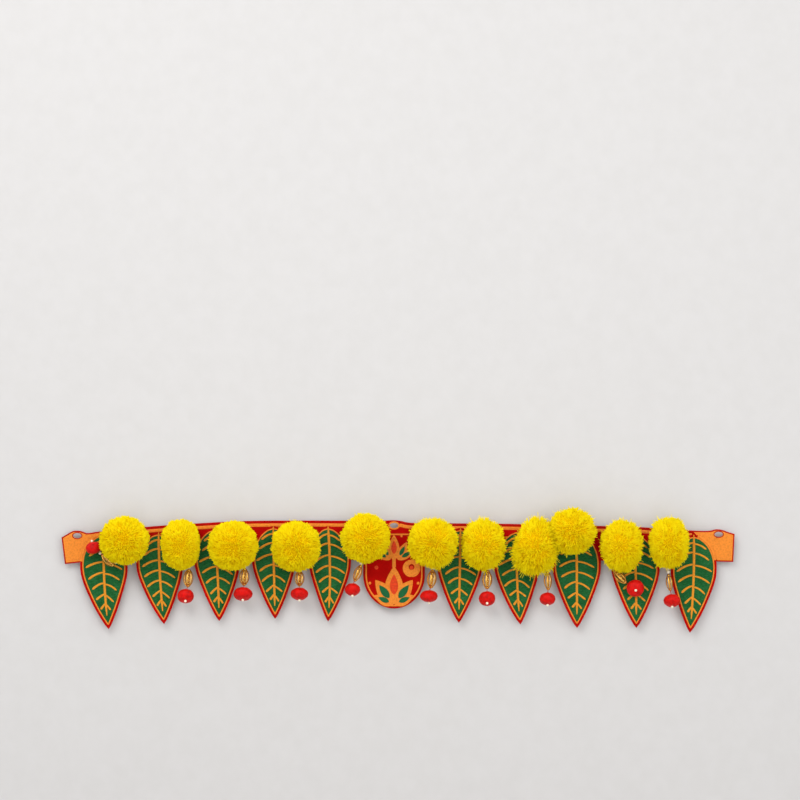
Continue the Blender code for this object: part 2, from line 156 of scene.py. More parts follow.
# Medallion panel
MEDALLION_HALF = 38.5
MEDALLION_TOP_Z = -14.0
MEDALLION_CORNER = 13.0
MEDALLION_ROUND_Z = -68.0
MEDALLION_BOTTOM_Z = -110.2
MEDALLION_LINE_INSET = 3.6
MEDALLION_LINE_WIDE = 2.1
# Lotus petals: angle, length, width; the last one stands in the middle
LOTUS_BASE = (0.0, -104.5)
LOTUS = (
    (23, 27.0, 14.0), (157, 27.0, 14.0), (52, 38.0, 19.0), (128, 38.0, 19.0),
    (90, 47.0, 23.0),
)
# Scroll on each side: middle, start angle, turns, outer and inner radius
SCROLL = ((22.0, -59.0), -60, -1.2, 9.6, 4.4)
# Side leaves of the bud: angle from upright, length, width
SIDE_LEAVES = ((28, 25.0, 10.0), (60, 26.0, 10.0))
SIDE_LEAF_BASE = (4.5, -49.0)
BUD_BASE = (0.0, -50.0)
# Dots on each side: x, z, size
DOTS = ((30.2, -78.5, 3.6), (31.0, -44.0, 3.4), (9.5, -19.5, 2.8))

# Pompom lobes: name, x, z, width, height, shagginess, squareness
LOBES = (
    ("pompom_01", -335.8, -24.4, 62.0, 61.0, 0.15, 2.05),
    ("pompom_02", -265.8, -29.5, 49.5, 63.5, 0.15, 2.25),
    ("pompom_03", -200.1, -30.9, 63.5, 62.0, 0.2, 2.0),
    ("pompom_04", -122.0, -31.9, 61.0, 63.0, 0.25, 2.1),
    ("pompom_05", -35.3, -21.8, 61.0, 62.0, 0.35, 2.05),
    ("pompom_06", 48.3, -27.6, 62.0, 62.0, 0.6, 2.05),
    ("pompom_07", 111.3, -29.8, 54.0, 63.0, 0.7, 2.15),
    ("pompom_08", 221.3, -13.1, 59.0, 56.0, 0.75, 2.1),
    ("pompom_08", 176.6, -30.5, 56.0, 69.0, 1.0, 2.1),
    ("pompom_09", 283.6, -31.4, 52.0, 65.0, 0.7, 2.1),
    ("pompom_10", 342.6, -28.1, 49.0, 63.0, 0.65, 2.25),
)
POMPOM_DEPTH_SHARE = 0.85
POMPOM_SUNK_SHARE = 0.8
CORE_SHARE = 0.84
OPEN_BACK = 0.86
FIRST_SEED = 40

# Bead drops: cage top x, z, cage bottom x, z, cage width, red bead x, z, width, tilt forward
DROPS = (
    (-349.5, -56.8, -364.6, -42.6, 11.0, -374.8, -33.9, 19.4, 0.0),
    (-256.0, -60.6, -257.4, -83.2, 13.0, -259.8, -94.1, 21.0, 45.0),
    (-186.4, -59.4, -187.2, -81.4, 13.0, -188.3, -91.4, 24.0, 30.0),
    (-117.9, -62.2, -117.9, -82.2, 12.6, -117.9, -91.3, 22.0, 20.0),
    (-41.4, -55.6, -49.4, -76.2, 10.4, -51.8, -86.0, 19.4, 25.0),
    (48.3, -61.0, 46.0, -84.6, 12.4, 43.5, -94.1, 22.0, 8.0),
    (116.4, -61.6, 116.2, -85.6, 13.0, 116.0, -97.3, 21.0, 50.0),
    (191.6, -63.0, 192.4, -87.0, 10.4, 191.4, -97.6, 20.0, 25.0),
    (274.4, -62.4, 289.6, -78.2, 11.4, 301.1, -84.4, 22.0, 75.0),
    (342.2, -66.8, 344.8, -88.0, 9.0, 346.6, -99.8, 21.0, 27.0),
)
# The drop that lies turned up on the left tab
FLIPPED_DROP = 1
RED_BEAD_HIGH = 15.0
STOPPER_RADIUS = 1.7
CAGE_DEPTH = 12.0
THREAD_RADIUS = 0.4
# Cup of a cage bead: radius, height from its end
CUP = (
    (0.0, 0.0), (0.9, 0.0), (1.5, 0.25), (2.2, 0.7), (2.6, 1.4), (2.55, 2.3),
    (2.2, 2.75), (1.4, 2.6), (0.9, 2.2), (0.0, 2.2),
)
GRAINS = 10
CORE_BEADS = 4
# Pearls on each drop: start x, z, lean from upright, thread length, then radius and height
PEARLS = (
    (-347.8, -53.7, 23.0, 6.0, ((2.3, 2.3),)),
    (-256.0, -60.3, 0.0, 4.8, ((2.1, 2.3),)),
    (-186.4, -59.1, 0.0, 5.8, ((2.3, 2.5),)),
    (-117.9, -61.9, 0.0, 3.7, ((1.7, 1.9),)),
    (-41.4, -55.3, 0.0, 6.9, ((2.3, 2.5),)),
    (48.3, -60.7, 0.0, 6.6, ((2.3, 2.5),)),
    (116.4, -61.3, 0.0, 4.1, ((1.9, 2.1),)),
    (191.6, -62.7, 0.0, 8.4, ((2.3, 2.5), (1.7, 6.7))),
    (274.4, -61.2, 0.0, 3.3, ((1.5, 1.6),)),
    (342.2, -66.5, 0.0, 10.4, ((2.3, 2.5), (2.3, 7.3))),
)


# The wall just behind the cloth, the floor below it, in metres
WALL_Y = 0.009
WALL_TOP_Z = 2.4
FLOOR_Z = -0.42
FLOOR_DEEP = 4.0
STAGE_WIDE = 6.0
CAMERA_PLACE = (0.0075, -5.0, 0.1504)
CAMERA_LENS = 180.0
LIT_PLACE = (0.0, 0.0, -0.03)
SKY_STRENGTH = 0.98
# Soft lights: name, place, size, power
LIGHTS = (
    ("key_light", (-0.75, -1.7, 1.35), (1.5, 1.0), 19.0),
    ("fill_light", (1.15, -1.8, 0.55), (1.5, 1.5), 8.5),
    ("low_light", (0.0, -1.9, -0.35), (1.6, 0.5), 2.5),
)


# Settings


class ToranSettings(bpy.types.PropertyGroup):
    """The sizes and colours that a user would change."""

    cloth_red: bpy.props.FloatVectorProperty(
        name="Cloth Red", description="Colour of the base cloth", subtype="COLOR",
        size=3, min=0.0, max=1.0, default=(0.42, 0.004, 0.003),
    )
    leaf_green: bpy.props.FloatVectorProperty(
        name="Leaf Green", description="Colour of the leaves' stitched filling",
        subtype="COLOR", size=3, min=0.0, max=1.0, default=(0.012, 0.105, 0.026),
    )
    thread_orange: bpy.props.FloatVectorProperty(
        name="Thread Orange", description="Colour of the outlines and end tabs",
        subtype="COLOR", size=3, min=0.0, max=1.0, default=(1.0, 0.3, 0.036),
    )
    vein_gold: bpy.props.FloatVectorProperty(
        name="Vein Gold", description="Colour of the leaves' midribs and veins",
        subtype="COLOR", size=3, min=0.0, max=1.0, default=(0.88, 0.33, 0.024),
    )
    yarn_yellow: bpy.props.FloatVectorProperty(
        name="Yarn Yellow", description="Colour of the pompoms' yarn ends",
        subtype="COLOR", size=3, min=0.0, max=1.0, default=(1.0, 0.75, 0.003),
    )
    gold: bpy.props.FloatVectorProperty(
        name="Gold", description="Colour of the openwork cage beads", subtype="COLOR",
        size=3, min=0.0, max=1.0, default=(0.8, 0.45, 0.09),
    )
    bead_red: bpy.props.FloatVectorProperty(
        name="Bead Red", description="Colour of the flocked beads", subtype="COLOR",
        size=3, min=0.0, max=1.0, default=(0.6, 0.004, 0.002),
    )
    pearl_cream: bpy.props.FloatVectorProperty(
        name="Pearl Cream", description="Colour of the pearls and stopper beads",
        subtype="COLOR", size=3, min=0.0, max=1.0, default=(0.92, 0.83, 0.64),
    )
    strands: bpy.props.IntProperty(
        name="Strands", description="Yarn ends on each pompom", min=500, max=9000,
        default=6800,
    )
    strand_width: bpy.props.FloatProperty(
        name="Strand Width", description="Width of one yarn end", subtype="DISTANCE",
        unit="LENGTH", min=0.0003, max=0.003, default=0.0011,
    )
    row_pitch: bpy.props.FloatProperty(
        name="Row Pitch", description="Spacing of the leaves' stitch rows",
        subtype="DISTANCE", unit="LENGTH", min=0.0005, max=0.003, default=0.00115,
    )
    outline_width: bpy.props.FloatProperty(
        name="Outline Width", description="Width of the leaves' orange outline",
        subtype="DISTANCE", unit="LENGTH", min=0.001, max=0.004, default=0.0017,
    )
    cage_ribs: bpy.props.IntProperty(
        name="Cage Ribs", description="Ribs on each cage bead", min=4, max=12, default=6,
    )


def settings():
    return bpy.context.scene.toran


# Materials


class Finish:
    """A node material with its Principled shader and a short way to add nodes."""

    def __init__(self, name, colour, roughness, metallic=0.0, gloss=0.5):
        self.material = bpy.data.materials.new(name)
        self.material.use_nodes = True
        self.tree = self.material.node_tree
        self.shader = self.tree.nodes["Principled BSDF"]
        self.set("Base Color", (*colour, 1.0))
        self.set("Roughness", roughness)
        self.set("Metallic", metallic)
        self.set("Specular IOR Level", gloss)

    def set(self, socket, value):
        self.shader.inputs[socket].default_value = value

    def node(self, kind, **values):
        made = self.tree.nodes.new("ShaderNode" + kind)
        for key, value in values.items():
            setattr(made, key, value)
        return made

    def link(self, source, target):
        self.tree.links.new(source, target)

    def coordinates(self):
        return self.node("TexCoord").outputs["Object"]

    def math(self, operation, first, second=0.0):
        made = self.node("Math", operation=operation)
        for socket, value in zip(made.inputs, (first, second)):
            if isinstance(value, (int, float)):
                socket.default_value = value
            else:
                self.link(value, socket)
        return made.outputs[0]

    def noise(self, scale, detail=2.0, stretch=None, vector=None):
        vector = vector or self.coordinates()
        if stretch:
            mapping = self.node("Mapping")
            mapping.inputs["Scale"].default_value = stretch
            self.link(vector, mapping.inputs["Vector"])
            vector = mapping.outputs["Vector"]
        made = self.node("TexNoise")
        made.inputs["Scale"].default_value = scale
        made.inputs["Detail"].default_value = detail
        self.link(vector, made.inputs["Vector"])
        return made.outputs["Fac"]

    def colours(self, factor, stops):
        ramp = self.node("ValToRGB")
        elements = ramp.color_ramp.elements
        while len(elements) < len(stops):
            elements.new(0.5)
        for element, (place, colour) in zip(elements, stops):
            element.position = place
            element.color = (*colour, 1.0)
        self.link(factor, ramp.inputs["Fac"])
        return ramp.outputs["Color"]

    def base(self, colour):
        self.link(colour, self.shader.inputs["Base Color"])

    def bump(self, heights):
        """Each height is (socket, depth in metres, strength)."""
        normal = None
        for height, depth, strength in heights:
            made = self.node("Bump")
            made.inputs["Distance"].default_value = depth
            made.inputs["Strength"].default_value = strength
            self.link(height, made.inputs["Height"])
            if normal:
                self.link(normal, made.inputs["Normal"])
            normal = made.outputs["Normal"]
        self.link(normal, self.shader.inputs["Normal"])


def shaded(colour, share):
    return tuple(min(1.0, channel * share) for channel in colour)


def woven_cloth():
    """Base cloth: a fine plain weave with a little fuzz."""
    red = tuple(settings().cloth_red)
    made = Finish("woven_cloth", red, 0.88, gloss=0.0)
    parts = made.node("SeparateXYZ")
    made.link(made.coordinates(), parts.inputs["Vector"])
    pitch = 2 * math.pi / 0.0009
    warp = made.math("SINE", made.math("MULTIPLY", parts.outputs["X"], pitch))
    weft = made.math("SINE", made.math("MULTIPLY", parts.outputs["Z"], pitch))
    weave = made.math("MULTIPLY", warp, weft)
    fuzz = made.noise(900.0, 3.0)
    tone = made.math("ADD", made.noise(35.0, 3.0), made.math("MULTIPLY", fuzz, 0.5))
    stops = ((0.45, shaded(red, 0.72)), (0.75, red), (1.0, shaded(red, 1.25)))
    made.base(made.colours(tone, stops))
    made.bump(((weave, 0.00012, 0.6), (fuzz, 0.0002, 0.5)))
    made.set("Sheen Weight", 0.08)
    made.set("Sheen Tint", (1.0, 0.1, 0.08, 1.0))
    return made.material


def leaf_filling():
    """Green filling: level rows of short stitches."""
    green = tuple(settings().leaf_green)
    made = Finish("leaf_filling", green, 0.62, gloss=0.04)
    parts = made.node("SeparateXYZ")
    made.link(made.coordinates(), parts.inputs["Vector"])
    wobble = made.math("MULTIPLY", made.noise(140.0, 2.0), 2.2)
    turn = 2 * math.pi / settings().row_pitch
    phase = made.math("ADD", made.math("MULTIPLY", parts.outputs["Z"], turn), wobble)
    rows = made.math("SINE", phase)
    stitches = made.noise(1.0, 2.0, stretch=(420.0, 200.0, 2600.0))
    broad = made.noise(45.0, 2.0)
    # The rows also tint the colour: darker in the grooves between rows and paler on their
    # crests, painted shade and highlight; the stitch and broad noise is random tone
    tone = made.math("ADD", made.math("MULTIPLY", rows, 0.24), stitches)
    tone = made.math("ADD", tone, made.math("MULTIPLY", broad, 0.35))
    stops = (
        (0.38, shaded(green, 0.42)), (0.62, green), (0.84, shaded(green, 1.7)),
        (1.0, (0.05, 0.24, 0.085)),
    )
    made.base(made.colours(tone, stops))
    made.bump(((rows, 0.00035, 0.75), (stitches, 0.0002, 0.5)))
    return made.material


def satin_thread(name, colour, roughness=0.55):
    """Raised satin stitch: threads that lie across the line of the stitching."""
    made = Finish(name, colour, roughness, gloss=0.12)
    thread = made.node("Attribute", attribute_name="thread")
    parts = made.node("SeparateXYZ")
    made.link(thread.outputs["Vector"], parts.inputs["Vector"])
    along = parts.outputs["X"]
    wobble = made.math("MULTIPLY", made.noise(600.0, 2.0), 1.6)
    phase = made.math("ADD", made.math("MULTIPLY", along, 2 * math.pi / 0.00055), wobble)
    threads = made.math("SINE", phase)
    fibre = made.noise(1800.0, 2.0)
    # The threads also tint the colour: darker in the grooves between threads and paler on
    # their crests, painted shade and highlight; the broad noise is random tone
    tone = made.math("ADD", made.math("MULTIPLY", threads, 0.14), made.noise(420.0, 2.0))
    stops = ((0.1, shaded(colour, 0.6)), (0.5, colour), (0.9, shaded(colour, 1.12)))
    made.base(made.colours(tone, stops))
    made.bump(((threads, 0.00018, 0.7), (fibre, 0.0001, 0.3)))
    return made.material


def yarn():
    """Pompom yarn: darker towards the root and paler at the cut end, painted shade deep in the
    ball; each strand its own tone, partly random and partly painted shade in the hollows.
    """
    yellow = tuple(settings().yarn_yellow)
    made = Finish("tied_yarn", yellow, 0.85, gloss=0.0)
    strand = made.node("Attribute", attribute_name="strand")
    parts = made.node("SeparateXYZ")
    made.link(strand.outputs["Vector"], parts.inputs["Vector"])
    tone = made.math("MULTIPLY", parts.outputs["X"], 0.6)
    tone = made.math("ADD", tone, made.math("MULTIPLY", parts.outputs["Y"], 0.4))
    # Low tones, at the roots and in the hollows, are painted shade; the highest, at the cut
    # ends, are the palest
    stops = (
        (0.1, (0.5, 0.25, 0.0)), (0.38, (0.86, 0.55, 0.001)), (0.6, yellow),
        (0.9, (1.0, 0.82, 0.006)),
    )
    made.base(made.colours(tone, stops))
    made.bump(((made.noise(1500.0, 2.0), 0.0002, 0.5),))
    return made.material


def polished_gold():
    made = Finish("polished_gold", tuple(settings().gold), 0.2, metallic=1.0)
    wear = made.noise(420.0, 3.0)
    made.bump(((wear, 0.00008, 0.35),))
    rough = made.node("MapRange")
    rough.inputs["To Min"].default_value = 0.14
    rough.inputs["To Max"].default_value = 0.32
    made.link(wear, rough.inputs["Value"])
    made.link(rough.outputs["Result"], made.shader.inputs["Roughness"])
    return made.material


def flocked_red():
    """Velvety bead: fine upright fibres, with patches of random tone whose paler parts are
    painted highlight.
    """
    red = tuple(settings().bead_red)
    made = Finish("flocked_red", red, 0.42, gloss=0.12)
    fibres = made.noise(2200.0, 2.0)
    # Patches of random tone; the paler ones are painted highlight
    tone = made.math("ADD", made.noise(260.0, 3.0), made.math("MULTIPLY", fibres, 0.35))
    stops = ((0.42, shaded(red, 0.6)), (0.66, red), (0.95, shaded(red, 1.25)))
    made.base(made.colours(tone, stops))
    made.bump(((fibres, 0.00025, 0.7), (made.noise(420.0, 2.0), 0.0004, 0.35)))
    made.set("Sheen Weight", 0.1)
    made.set("Sheen Tint", (1.0, 0.2, 0.15, 1.0))
    return made.material


def pearl_coat():
    cream = tuple(settings().pearl_cream)
    made = Finish("pearl_coat", cream, 0.22)
    tone = made.noise(500.0, 2.0)
    made.base(made.colours(tone, ((0.3, shaded(cream, 0.9)), (0.7, cream))))
    made.set("Coat Weight", 0.6)
    made.set("Coat Roughness", 0.08)
    return made.material


def stage_paper():
    """Pale backdrop that is clear from behind, so that the back can be seen."""
    made = Finish("stage_paper", (0.6, 0.59, 0.585), 0.95, gloss=0.1)
    grain = made.noise(60.0, 2.0)
    stops = ((0.3, (0.6, 0.59, 0.583)), (0.7, (0.615, 0.605, 0.6)))
    made.base(made.colours(grain, stops))
    clear = made.node("BsdfTransparent")
    mix = made.node("MixShader")
    side = made.node("NewGeometry")
    made.link(side.outputs["Backfacing"], mix.inputs["Fac"])
    made.link(made.shader.outputs["BSDF"], mix.inputs[1])
    made.link(clear.outputs["BSDF"], mix.inputs[2])
    out = made.tree.nodes["Material Output"]
    made.link(mix.outputs["Shader"], out.inputs["Surface"])
    return made.material


MAKERS = {
    "woven_cloth": woven_cloth,
    "leaf_filling": leaf_filling,
    "orange_thread": lambda: satin_thread("orange_thread", tuple(settings().thread_orange)),
    "vein_thread": lambda: satin_thread("vein_thread", tuple(settings().vein_gold)),
    "red_thread": lambda: satin_thread("red_thread", (0.5, 0.006, 0.004)),
    "coral_thread": lambda: satin_thread("coral_thread", (0.86, 0.07, 0.018)),
    "green_thread": lambda: satin_thread("green_thread", (0.015, 0.15, 0.05)),
    "tied_yarn": yarn,
    "polished_gold": polished_gold,
    "flocked_red": flocked_red,
    "pearl_coat": pearl_coat,
    "stage_paper": stage_paper,
}


def finish_of(name):
    return bpy.data.materials.get(name) or MAKERS[name]()


# Shapes, in millimetres until a piece is made

# Half a rounded thread bundle: share of the half width, share of the height
STITCH_SECTION = (
    (-1.0, 0.25), (-0.86, -0.45), (-0.45, -0.9), (0.0, -1.0),
    (0.45, -0.9), (0.86, -0.45), (1.0, 0.25),
)


def piece(name, bm, finishes):
    """A finished mesh in millimetres becomes one piece in metres that rides on the part."""
    bmesh.ops.scale(bm, vec=(MM, MM, MM), verts=bm.verts)
    mesh = bpy.data.meshes.new(name)
    bm.to_mesh(mesh)
    bm.free()
    for finish in finishes:
        mesh.materials.append(finish_of(finish))
    mesh.shade_smooth()
    mesh.set_sharp_from_angle(angle=math.radians(50))
    return riding(name, mesh)


def linked(name, data):
    """An object with this data, in the scene."""
    made = bpy.data.objects.new(name, data)
    bpy.context.scene.collection.objects.link(made)
    return made


def riding(name, mesh):
    """A piece that moves with the part, under the name it is given."""
    made = linked(name, mesh)
    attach(made, "root")
    return made


def add_to(target, source, finish=0):
    """Copies one bmesh into another and gives its faces a finish."""
    for face in source.faces:
        face.material_index = finish
    mesh = bpy.data.meshes.new("spare")
    source.to_mesh(mesh)
    source.free()
    target.from_mesh(mesh)
    bpy.data.meshes.remove(mesh)


def thread_layer(bm):
    layer = bm.verts.layers.float_vector.get("thread")
    return layer or bm.verts.layers.float_vector.new("thread")


def smooth_line(points, steps):
    """The points of an edge with more between them, on a curve through them."""
    line = []
    for i in range(len(points) - 1):
        near = (points[max(i - 1, 0)], points[i], points[i + 1])
        far = points[min(i + 2, len(points) - 1)]
        for step in range(steps):
            t = step / steps
            row = []
            for axis in (0, 1):
                p, q, r, s = (near[0][axis], near[1][axis], near[2][axis], far[axis])
                value = 2 * q + (r - p) * t + (2 * p - 5 * q + 4 * r - s) * t * t
                row.append(0.5 * (value + (3 * q - p - 3 * r + s) * t ** 3))
            line.append(tuple(row))
    line.append(points[-1])
    return line


def area_of(outline):
    total = 0.0
    for (ax, az), (bx, bz) in zip(outline, outline[1:] + outline[:1]):
        total += ax * bz - bx * az
    return 0.5 * total


def distance_to(outline, x, z):
    best = 1e9
    for (ax, az), (bx, bz) in zip(outline, outline[1:] + outline[:1]):
        ux, uz = bx - ax, bz - az
        share = ((x - ax) * ux + (z - az) * uz) / max(ux * ux + uz * uz, 1e-9)
        share = max(0.0, min(1.0, share))
        best = min(best, math.hypot(x - ax - share * ux, z - az - share * uz))
    return best


def drawn_in(outline, inset):
    """The outline moved inwards by the inset, without the points that would cross."""
    side = 1.0 if area_of(outline) > 0 else -1.0
    kept = []
    count = len(outline)
    for i in range(count):
        before, here, after = outline[i - 1], outline[i], outline[(i + 1) % count]
        a = Vector((here[0] - before[0], here[1] - before[1]))
        b = Vector((after[0] - here[0], after[1] - here[1]))
        if a.length < 1e-6 or b.length < 1e-6:
            continue
        a.normalize()
        b.normalize()
        inward = Vector((-a.y - b.y, a.x + b.x)) * side
        inward.normalize()
        miter = max(0.35, inward.dot(Vector((-a.y, a.x)) * side))
        x = here[0] + inward.x * inset / miter
        z = here[1] + inward.y * inset / miter
        if distance_to(outline, x, z) > 0.96 * inset:
            kept.append((x, z))
    return kept


def plate(outline, front_y, back_y, rim, cuts=0.0):
    """A flat pad with this outline, a rounded front rim and cuts across it for shaping."""
    bm = bmesh.new()
    face = bm.faces.new([bm.verts.new((x, back_y, z)) for x, z in outline])
    grown = bmesh.ops.extrude_face_region(bm, geom=[face])
    moved = [item for item in grown["geom"] if isinstance(item, bmesh.types.BMVert)]
    bmesh.ops.translate(bm, vec=(0, front_y - back_y, 0), verts=moved)
    bmesh.ops.recalc_face_normals(bm, faces=bm.faces)
    if rim > 0:
        edges = [e for e in bm.edges if all(abs(v.co.y - front_y) < 1e-4 for v in e.verts)]
        bmesh.ops.bevel(
            bm, geom=edges, offset=rim, offset_type="OFFSET", segments=2, profile=0.5,
            affect="EDGES", clamp_overlap=True, material=-1,
        )
    if cuts:
        zs = [z for _, z in outline]
        xs = [x for x, _ in outline]
        for axis, low, high in ((2, min(zs), max(zs)), (0, min(xs), max(xs))):
            for i in range(1, int((high - low) / cuts)):
                spot, way = [0, 0, 0], [0, 0, 0]
                spot[axis] = low + i * cuts
                way[axis] = 1
                geom = bm.verts[:] + bm.edges[:] + bm.faces[:]
                bmesh.ops.bisect_plane(bm, geom=geom, dist=1e-4, plane_co=spot, plane_no=way)
    layer = thread_layer(bm)
    for vert in bm.verts:
        vert[layer] = Vector((vert.co.z, vert.co.x, 0.0)) * MM
    return bm


def stitch_line(path, widths, high, base_y, closed=False):
    """A raised line of satin stitch along a path of x, z points."""
    bm = bmesh.new()
    layer = thread_layer(bm)
    count = len(path)
    rings = []
    far = 0.0
    for i, (x, z) in enumerate(path):
        before = path[i - 1] if i or closed else path[i]
        after = path[(i + 1) % count] if i < count - 1 or closed else path[i]
        way = Vector((after[0] - before[0], after[1] - before[1])).normalized()
        if i:
            far += math.hypot(x - path[i - 1][0], z - path[i - 1][1])
        half = 0.5 * (widths[i] if isinstance(widths, list) else widths)
        ring = []
        for across, up in STITCH_SECTION:
            spot = (x - way.y * across * half, base_y + up * high, z + way.x * across * half)
            vert = bm.verts.new(spot)
            vert[layer] = Vector((far, across * half, 0.0)) * MM
            ring.append(vert)
        rings.append(ring)
    pairs = list(zip(rings, rings[1:]))
    if closed:
        pairs.append((rings[-1], rings[0]))
    size = len(STITCH_SECTION)
    for low, high_ring in pairs:
        for j in range(size):
            k = (j + 1) % size
            bm.faces.new((low[j], low[k], high_ring[k], high_ring[j]))
    if not closed:
        bm.faces.new(rings[0])
        bm.faces.new(rings[-1])
    bmesh.ops.recalc_face_normals(bm, faces=bm.faces)
    return bm


def blunt(count, start, end):
    """Widths along a short stitched line with rounded ends."""
    widths = []
    for i in range(count):
        t = i / (count - 1)
        ends = min(1.0, 0.35 + 6.0 * t) * min(1.0, 0.45 + 6.0 * (1 - t))
        widths.append((start + (end - start) * t) * ends)
    return widths


def sewn_pad(target, outline, front_y, rim, finish):
    """Adds a raised patch of stitching, sunk a little into the cloth."""
    add_to(target, plate(outline, front_y, LEAF_CLOTH_Y + SEWN_IN, rim), finish)


def relax(bm, seed, amount=0.35):
    """Lets the free part of a panel lift and lean a little, as hanging cloth does."""
    for vert in bm.verts:
        below = max(0.0, min(1.0, (FREE_FROM_Z - vert.co.z) / FREE_OVER))
        curl = TIP_CURL * max(0.0, TIP_CURL_FROM_Z - vert.co.z) ** 2
        wave = math.sin(vert.co.x * 0.11 + seed * 1.7) * math.cos(vert.co.z * 0.07 + seed)
        vert.co.y -= curl + amount * below * (0.5 + 0.5 * wave)


# Leaves


def leaf_centre(leaf, share):
    apex_x, _, middle_x, tip_x, _, _ = leaf
    m = LEAF_MIDDLE_AT
    at_apex = apex_x * (share - m) * (share - 1) / m
    at_middle = middle_x * share * (share - 1) / (m * (m - 1))
    at_tip = tip_x * share * (share - m) / (1 - m)
    return at_apex + at_middle + at_tip


def leaf_point(leaf, share, half=0.0):
    z = leaf[1] + (leaf[4] - leaf[1]) * share
    return leaf_centre(leaf, share) + half, z


def leaf_outline(leaf):
    fine = smooth_line(LEAF_OUTLINE, 3)
    right = [leaf_point(leaf, s, 0.5 * leaf[5] * w) for s, w in fine]
    left = [leaf_point(leaf, s, -0.5 * leaf[5] * w) for s, w in fine[1:-1]]
    return right + left[::-1]


def leaf_veins(leaf, seed):
    """Midrib and paired veins, each a raised stitched line."""
    bm = bmesh.new()
    base = LEAF_FILL_Y + 0.1
    shares = [MIDRIB_ENDS_AT * i / 28 for i in range(29)]
    path = [leaf_point(leaf, 0.004 + s) for s in shares]
    add_to(bm, stitch_line(path, blunt(29, *MIDRIB_WIDTHS), MIDRIB_RAISED, base), 0)
    scale = leaf[5] / 60.0
    rng = np.random.default_rng(seed)
    for index, (share, span, drop) in enumerate(VEINS):
        for side in (-1, 1):
            reach = span * scale * (1.0 + 0.06 * rng.uniform(-1, 1))
            fall = drop * (1.0 + 0.12 * rng.uniform(-1, 1))
            joint = leaf_point(leaf, share + (0.012 if side > 0 else 0.0))
            path = []
            for i in range(11):
                t = i / 10
                steep = t ** 1.9 if index < 5 else t ** 1.25
                path.append((joint[0] + side * reach * t, joint[1] - fall * steep))
            widths = blunt(11, VEIN_START_WIDE, VEIN_END_WIDE[side])
            add_to(bm, stitch_line(path, widths, VEIN_RAISED, base), 0)
    return bm


class TORAN_OT_leaves(bpy.types.Operator):
    """Make the ten leaf panels: cloth, green filling, outline and veins"""

    bl_idname = "toran.leaves"
    bl_label = "Leaves"

    def execute(self, context):
        wide = settings().outline_width / MM
        for number, leaf in enumerate(LEAVES, 1):
            outline = leaf_outline(leaf)
            cloth = plate(outline, LEAF_CLOTH_Y, LEAF_BACK_Y, PANEL_RIM, PANEL_CUTS)
            relax(cloth, number)
            made = piece(f"leaf_cloth_{number:02d}", cloth, ["woven_cloth"])
            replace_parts(made, f"leaf_{number:02d}")
            stitching = bmesh.new()
            thread_layer(stitching)
            inner = drawn_in(outline, LEAF_FILL_INSET)
            sunk = LEAF_CLOTH_Y + SEWN_IN
            add_to(stitching, plate(inner, LEAF_FILL_Y, sunk, 0.25, PANEL_CUTS), 0)
            line = drawn_in(outline, LEAF_LINE_INSET + 0.5 * wide)
            add_to(stitching, stitch_line(line, wide, LINE_RAISED, LEAF_CLOTH_Y, True), 1)
            add_to(stitching, leaf_veins(leaf, number), 2)
            if number in TAB_LEAVES:
                side = TAB_LEAVES[number]
                edge = [p for p in drawn_in(outline, COVER_INSET) if p[1] > COVER_ABOVE_Z]
                edge = [p for p in edge if (p[0] - leaf[0]) * side > 3.0]
                add_to(stitching, stitch_line(edge, COVER_WIDE, 0.55, LEAF_CLOTH_Y), 1)
            relax(stitching, number)
            sewn = piece(
                f"leaf_stitching_{number:02d}", stitching,
                ["leaf_filling", "orange_thread", "vein_thread"],
            )
        return {"FINISHED"}


# Band


def band_outline():
    return smooth_line(BAND_TOP, 3) + list(BAND_BOTTOM)


def oval(x, z, wide, high, count=32):
    turn = [2 * math.pi * i / count for i in range(count)]
    return [(x + 0.5 * wide * math.cos(a), z + 0.5 * high * math.sin(a)) for a in turn]


def cut_eyelets(obj):
    """Cuts the three oval openings through a piece."""
    for number, (x, z) in enumerate(EYELETS):
        bm = plate(oval(x, z, EYELET_WIDE, EYELET_HIGH), -4.0, 4.0, 0.0)
        bmesh.ops.scale(bm, vec=(MM, MM, MM), verts=bm.verts)
        mesh = bpy.data.meshes.new("eyelet_cutter")
        bm.to_mesh(mesh)
        bm.free()
        cutter = linked(f"eyelet_cutter_{number}", mesh)
        step = obj.modifiers.new("eyelet", "BOOLEAN")
        step.operation = "DIFFERENCE"
        step.solver = "EXACT"
        step.object = cutter
        apply_modifiers(obj)
        bpy.data.objects.remove(cutter, do_unlink=True)


def apply_modifiers(obj):
    graph = bpy.context.evaluated_depsgraph_get()
    mesh = bpy.data.meshes.new_from_object(obj.evaluated_get(graph))
    obj.modifiers.clear()
    obj.data = mesh


def along_top(start_x, end_x, below):
    fine = smooth_line(BAND_TOP, 4)
    return [(x, z - below) for x, z in fine if start_x <= x <= end_x]


def tab_outline(outline, end):
    """The stitched field of an end tab, in order around its middle."""
    x, z = TAB_MIDDLE[0] * end, TAB_MIDDLE[1]
    corners = [p for p in drawn_in(outline, TAB_INSET) if p[0] * end > TAB_FROM_X]
    return sorted(corners, key=lambda p: math.atan2(p[1] - z, p[0] - x))


